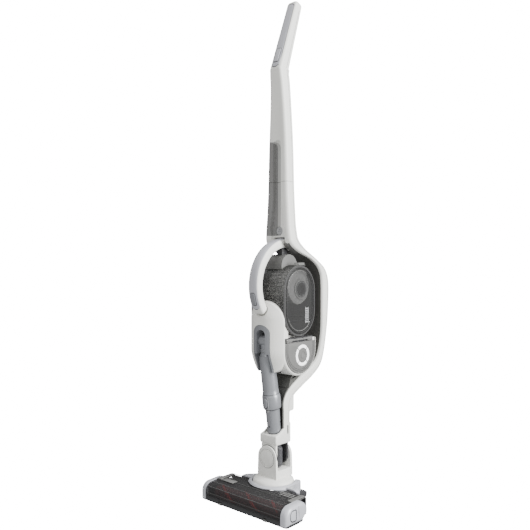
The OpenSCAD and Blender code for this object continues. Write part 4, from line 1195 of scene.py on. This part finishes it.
def build_caps():
    for left, node in ((True, "end_cap_left"), (False, "end_cap_right")):
        sign = -1 if left else 1
        rings = []
        for inset, x in ((0.0, CORE_HW), (0.0, 118), (0.7, 122.5), (2.2, 125.6), (4.6, 127.1), (9.5, 127.6)):
            reach, rise = 22 - inset, 20.5 - inset
            line = [(HEAD_FRONT + inset, 4.0 + inset * 0.5)] + arc(-85, 21.5, reach, rise, 180, 90, 14)
            line += arc(-57, 22.5, reach, rise, 90, -20, 18)
            line += [(-52, 3.0 + inset), (-100 + inset, 3.0 + inset)]
            rings.append([place(sign * x, y, z) for y, z in line])
        cap = loft(node + "_skin", rings, LIGHT_SILVER)
        melt_cap = smooth(cap, 50)
        if not left:
            cut(melt_cap, button_shape("button_room", 0.9, 121, 140))
        finish_piece(smooth(melt_cap, 40), "floor_head", "silver_plastic", node)
        lo, hi = sorted((sign * 112.5, sign * 126))
        foot = smooth(bevel(box(f"cap_foot_{node[8:]}", (lo, -104, 1.5), (hi, -55, 4.2), RUBBER), 0.6, 2))
        finish_piece(foot, "floor_head", "black_rubber")
        path = ((127.4, -66, 37.5), (127.55, -66, 31), (127.55, -65.6, 22), (127.4, -65.0, 14))
        seam = [(sign * x, y, z) for x, y, z in path]
        finish_piece(pipe(f"cap_seam_{node[8:]}", seam, 0.4, DARK, sides=8), "floor_head", "dark_plastic")
    ring = cut(button_shape("button_outline", 1.7, 126.4, 127.8), button_shape("button_gap", 0.1, 120, 130))
    finish_piece(smooth(ring, 40), "floor_head", "dark_plastic")
    button = button_shape("brush_release_button_skin", -0.4, 120.5, 127.9, LIGHT_SILVER)
    button = smooth(bevel(button, 0.8), 40)
    finish_piece(button, "brush_button", "silver_plastic", "brush_release_button")


def button_shape(name, grow, x0, x1, mat=DARK):
    """A D-shaped outline on the end cap, round towards the front."""
    g = grow
    line = arc(-84, 24, 8.6 + g, 8.6 + g, 90, 180, 10) + arc(-84, 20, 8.6 + g, 8.6 + g, 180, 270, 10)
    line += arc(-77.5, 14.2, 2.5 + g, 2.8 + g, 270, 360, 5) + arc(-77.5, 29.8, 2.5 + g, 2.8 + g, 0, 90, 5)
    return prism(name, line, x0, x1, mat)


def build_saddle():
    """The silver cradle: a lip around the dome that spreads into shoulders beside it."""
    rings = []
    for i in range(61):
        a = math.radians(-222 + 264 * i / 60)
        c, s = math.cos(a), math.sin(a)
        side = step(0.55, 0.98, abs(c)) if s < 0.35 else 0.0
        low = 42.9 - 4 * side
        ring = []
        for r, z in ((49.6, 44.0), (49.4, 47.3), (50.4, 48.6), (52.2, 48.3), (54.6 + 1.5 * side, 46.0),
                     (56.2 + 4 * side, low + 1.2), (55.0 + 4 * side, low), (49.6, low)):
            ring.append(place(r * c, r * s, z))
        rings.append(ring)
    lip = smooth(loft("saddle_lip", rings, LIGHT_SILVER), 50)
    finish_piece(lip, "floor_head", "silver_plastic")
    shoulders = []
    for k, side in enumerate((-1, 1)):
        plan = [(36, 42), (44, 45.5), (50, 31), (62, 17), (84, -9), (84, -19.6), (47.5, -19.6), (36, -19.6)]
        rings = []
        for z, inset in ((5, 0), (40.5, 0), (43.2, 1.0), (46.2, 8)):
            ring = []
            for x, y in plan:
                across = x - inset * (1 if x > 60 else 0.15)
                ring.append(place(side * across, y - inset * 0.3 if y > 0 else y, z))
            rings.append(ring)
        shoulders.append(melt(loft(f"saddle_shoulder_{k}", rings, LIGHT_SILVER), 1.2, 5))
    ball = [(DOME_R * math.cos(a), DOME_R * math.sin(a)) for a in map(math.radians, range(-80, 90, 8))]
    room = lathe("dome_clear", [(0.01, -DOME_R)] + ball + [(0.01, DOME_R)], SILVER, (0, 0, 32), (0, 0, 1))
    for k, piece in enumerate(shoulders):
        cutter = room if k else room.copy()
        if not k:
            cutter.data = room.data.copy()
            bpy.context.scene.collection.objects.link(cutter)
        cut(piece, cutter)
        finish_piece(smooth(piece, 40), "floor_head", "silver_plastic", *(["saddle"] if k else []))
    for k, side in enumerate((-1, 1)):
        arm = [(18, 6), (48, 6)] + arc(50, 13.5, 7.5, 7.5, -90, 75, 10) + [(42, 22.5), (18, 26)]
        x0, x1 = sorted((side * 47.2, side * 52.5))
        piece = smooth(bevel(prism(f"wheel_arm_{k}", arm, x0, x1, DARK), 1.0, 3, 50), 40)
        finish_piece(piece, "floor_head", "dark_plastic")


def build_wheels():
    for node, body, sign in (("rear_wheel_left", "left_wheel", -1), ("rear_wheel_right", "right_wheel", 1)):
        tread = [(7.6, 36.7), (10.2, 36.5), (10.9, 37.3), (11.0, 38.5), (11.0, 44.5), (10.9, 45.7),
                 (10.2, 46.5), (7.6, 46.3)]
        tread = [(r, sign * h) for r, h in tread]
        wheel = lathe(node + "_skin", tread, RUBBER, (0, 48, 11), (1, 0, 0), 48)
        finish_piece(wheel, body, "dark_plastic", node)
        hub = [(2.6, sign * 37.0), (7.7, sign * 36.8), (7.7, sign * 46.4),
               (5.0, sign * 45.7), (2.6, sign * 46.1)]
        finish_piece(lathe(node + "_hub", hub, WHITE, (0, 48, 11), (1, 0, 0), 48), body, "white_shell")


def build_rest():
    """Small carried-over pieces get their finishes."""
    paint(RUBBER, "seat_gasket")
    paint(DARK, "charge_socket")
    paint(STEEL, "suction_motor", "door_hinge_pin", "knuckle_pin")
    paint(CELL, "battery_cells")
    paint(GREY, "impeller")
    button = [(0.01, 0), (9.75, 0), (9.75, 6.6), (9.0, 7.6), (7.6, 8.0), (6.9, 7.6), (0.01, 7.0)]
    cap = lathe("release_button_skin", button, PALE_GREY, (0, 28, 615), (0, -1, 0))
    finish_piece(cap, "unlock_button", "grey_plastic", "release_button")
    for k, (x, z) in enumerate(((0, 3.2), (-2.4, -1.2), (2.4, -1.2))):
        dot = lathe(f"release_mark_{k}", [(0.01, 20.6), (0.01, 21.4), (1.1, 21.2), (1.1, 20.6)][::-1], DARK,
                    (x, 42, 615 + z), (0, -1, 0), 16)
        finish_piece(dot, "unlock_button", "dark_plastic")


build_wand()
build_neck()
build_head()
build_rest()


# ------------------------------------------------------------------ stage, light and camera
def lamp(name, where, target, size, power, colour=(1, 1, 1)):
    data = bpy.data.lights.new(name, "AREA")
    data.shape = "RECTANGLE"
    data.size, data.size_y = size
    data.energy = power
    data.color = colour
    obj = bpy.data.objects.new(name, data)
    bpy.context.scene.collection.objects.link(obj)
    obj.location = where
    obj.rotation_euler = (Vector(target) - Vector(where)).to_track_quat("-Z", "Y").to_euler()


def lobe(tree, toward, start, full, strength):
    """Brightness that rises as a direction turns towards one side of the room."""
    where = tree.nodes.new("ShaderNodeTexCoord")
    facing = tree.nodes.new("ShaderNodeVectorMath")
    facing.operation = "DOT_PRODUCT"
    facing.inputs[1].default_value = Vector(toward).normalized()
    tree.links.new(where.outputs["Generated"], facing.inputs[0])
    rise = tree.nodes.new("ShaderNodeMapRange")
    rise.interpolation_type = "SMOOTHSTEP"
    rise.inputs["From Min"].default_value = start
    rise.inputs["From Max"].default_value = full
    rise.inputs["To Max"].default_value = strength
    tree.links.new(facing.outputs["Value"], rise.inputs["Value"])
    return rise.outputs["Result"]


def backdrop(tree, strength):
    """A white backdrop that only the camera sees, straight or through clear plastic."""
    path = tree.nodes.new("ShaderNodeLightPath")
    return maths(tree, "MULTIPLY", path.outputs["Is Camera Ray"], strength)


def build_stage():
    """A white backdrop far behind the object, bright on the right and dim at the front left."""
    world = bpy.data.worlds.new("studio")
    bpy.context.scene.world = world
    world.use_nodes = True
    tree = world.node_tree
    sky = tree.nodes["Background"]
    sky.inputs["Color"].default_value = (1, 1, 1, 1)
    total = tree.nodes.new("ShaderNodeMath")
    total.operation = "ADD"
    total.inputs[1].default_value = AMBIENT
    tree.links.new(backdrop(tree, BACKDROP), total.inputs[0])
    for toward, start, full, strength in (((0.2, -0.9, -0.6), 0.1, 1.0, 0.75), ((0, 0, 1), 0.35, 0.95, 1.6)):
        more = tree.nodes.new("ShaderNodeMath")
        more.operation = "ADD"
        tree.links.new(total.outputs[0], more.inputs[0])
        tree.links.new(lobe(tree, toward, start, full, strength), more.inputs[1])
        total = more
    tree.links.new(total.outputs[0], sky.inputs["Strength"])
    lamp("key", (2.4, 0.5, 1.3), (0, 0, 0.55), (1.0, 2.2), 215)
    lamp("glint", (0.9, -2.6, 1.9), (0, 0, 0.5), (0.5, 1.2), 14)


def build_camera():
    """The camera stands level at 42 degrees to the right of the front."""
    data = bpy.data.cameras.new("camera")
    data.lens = 42.45
    data.sensor_width = 36
    cam = bpy.data.objects.new("camera", data)
    bpy.context.scene.collection.objects.link(cam)
    cam.location = place(940, -1073, 536.5)
    cam.rotation_euler = Vector(CAMERA_AIM).to_track_quat("-Z", "Y").to_euler()
    bpy.context.scene.camera = cam


build_stage()
build_camera()
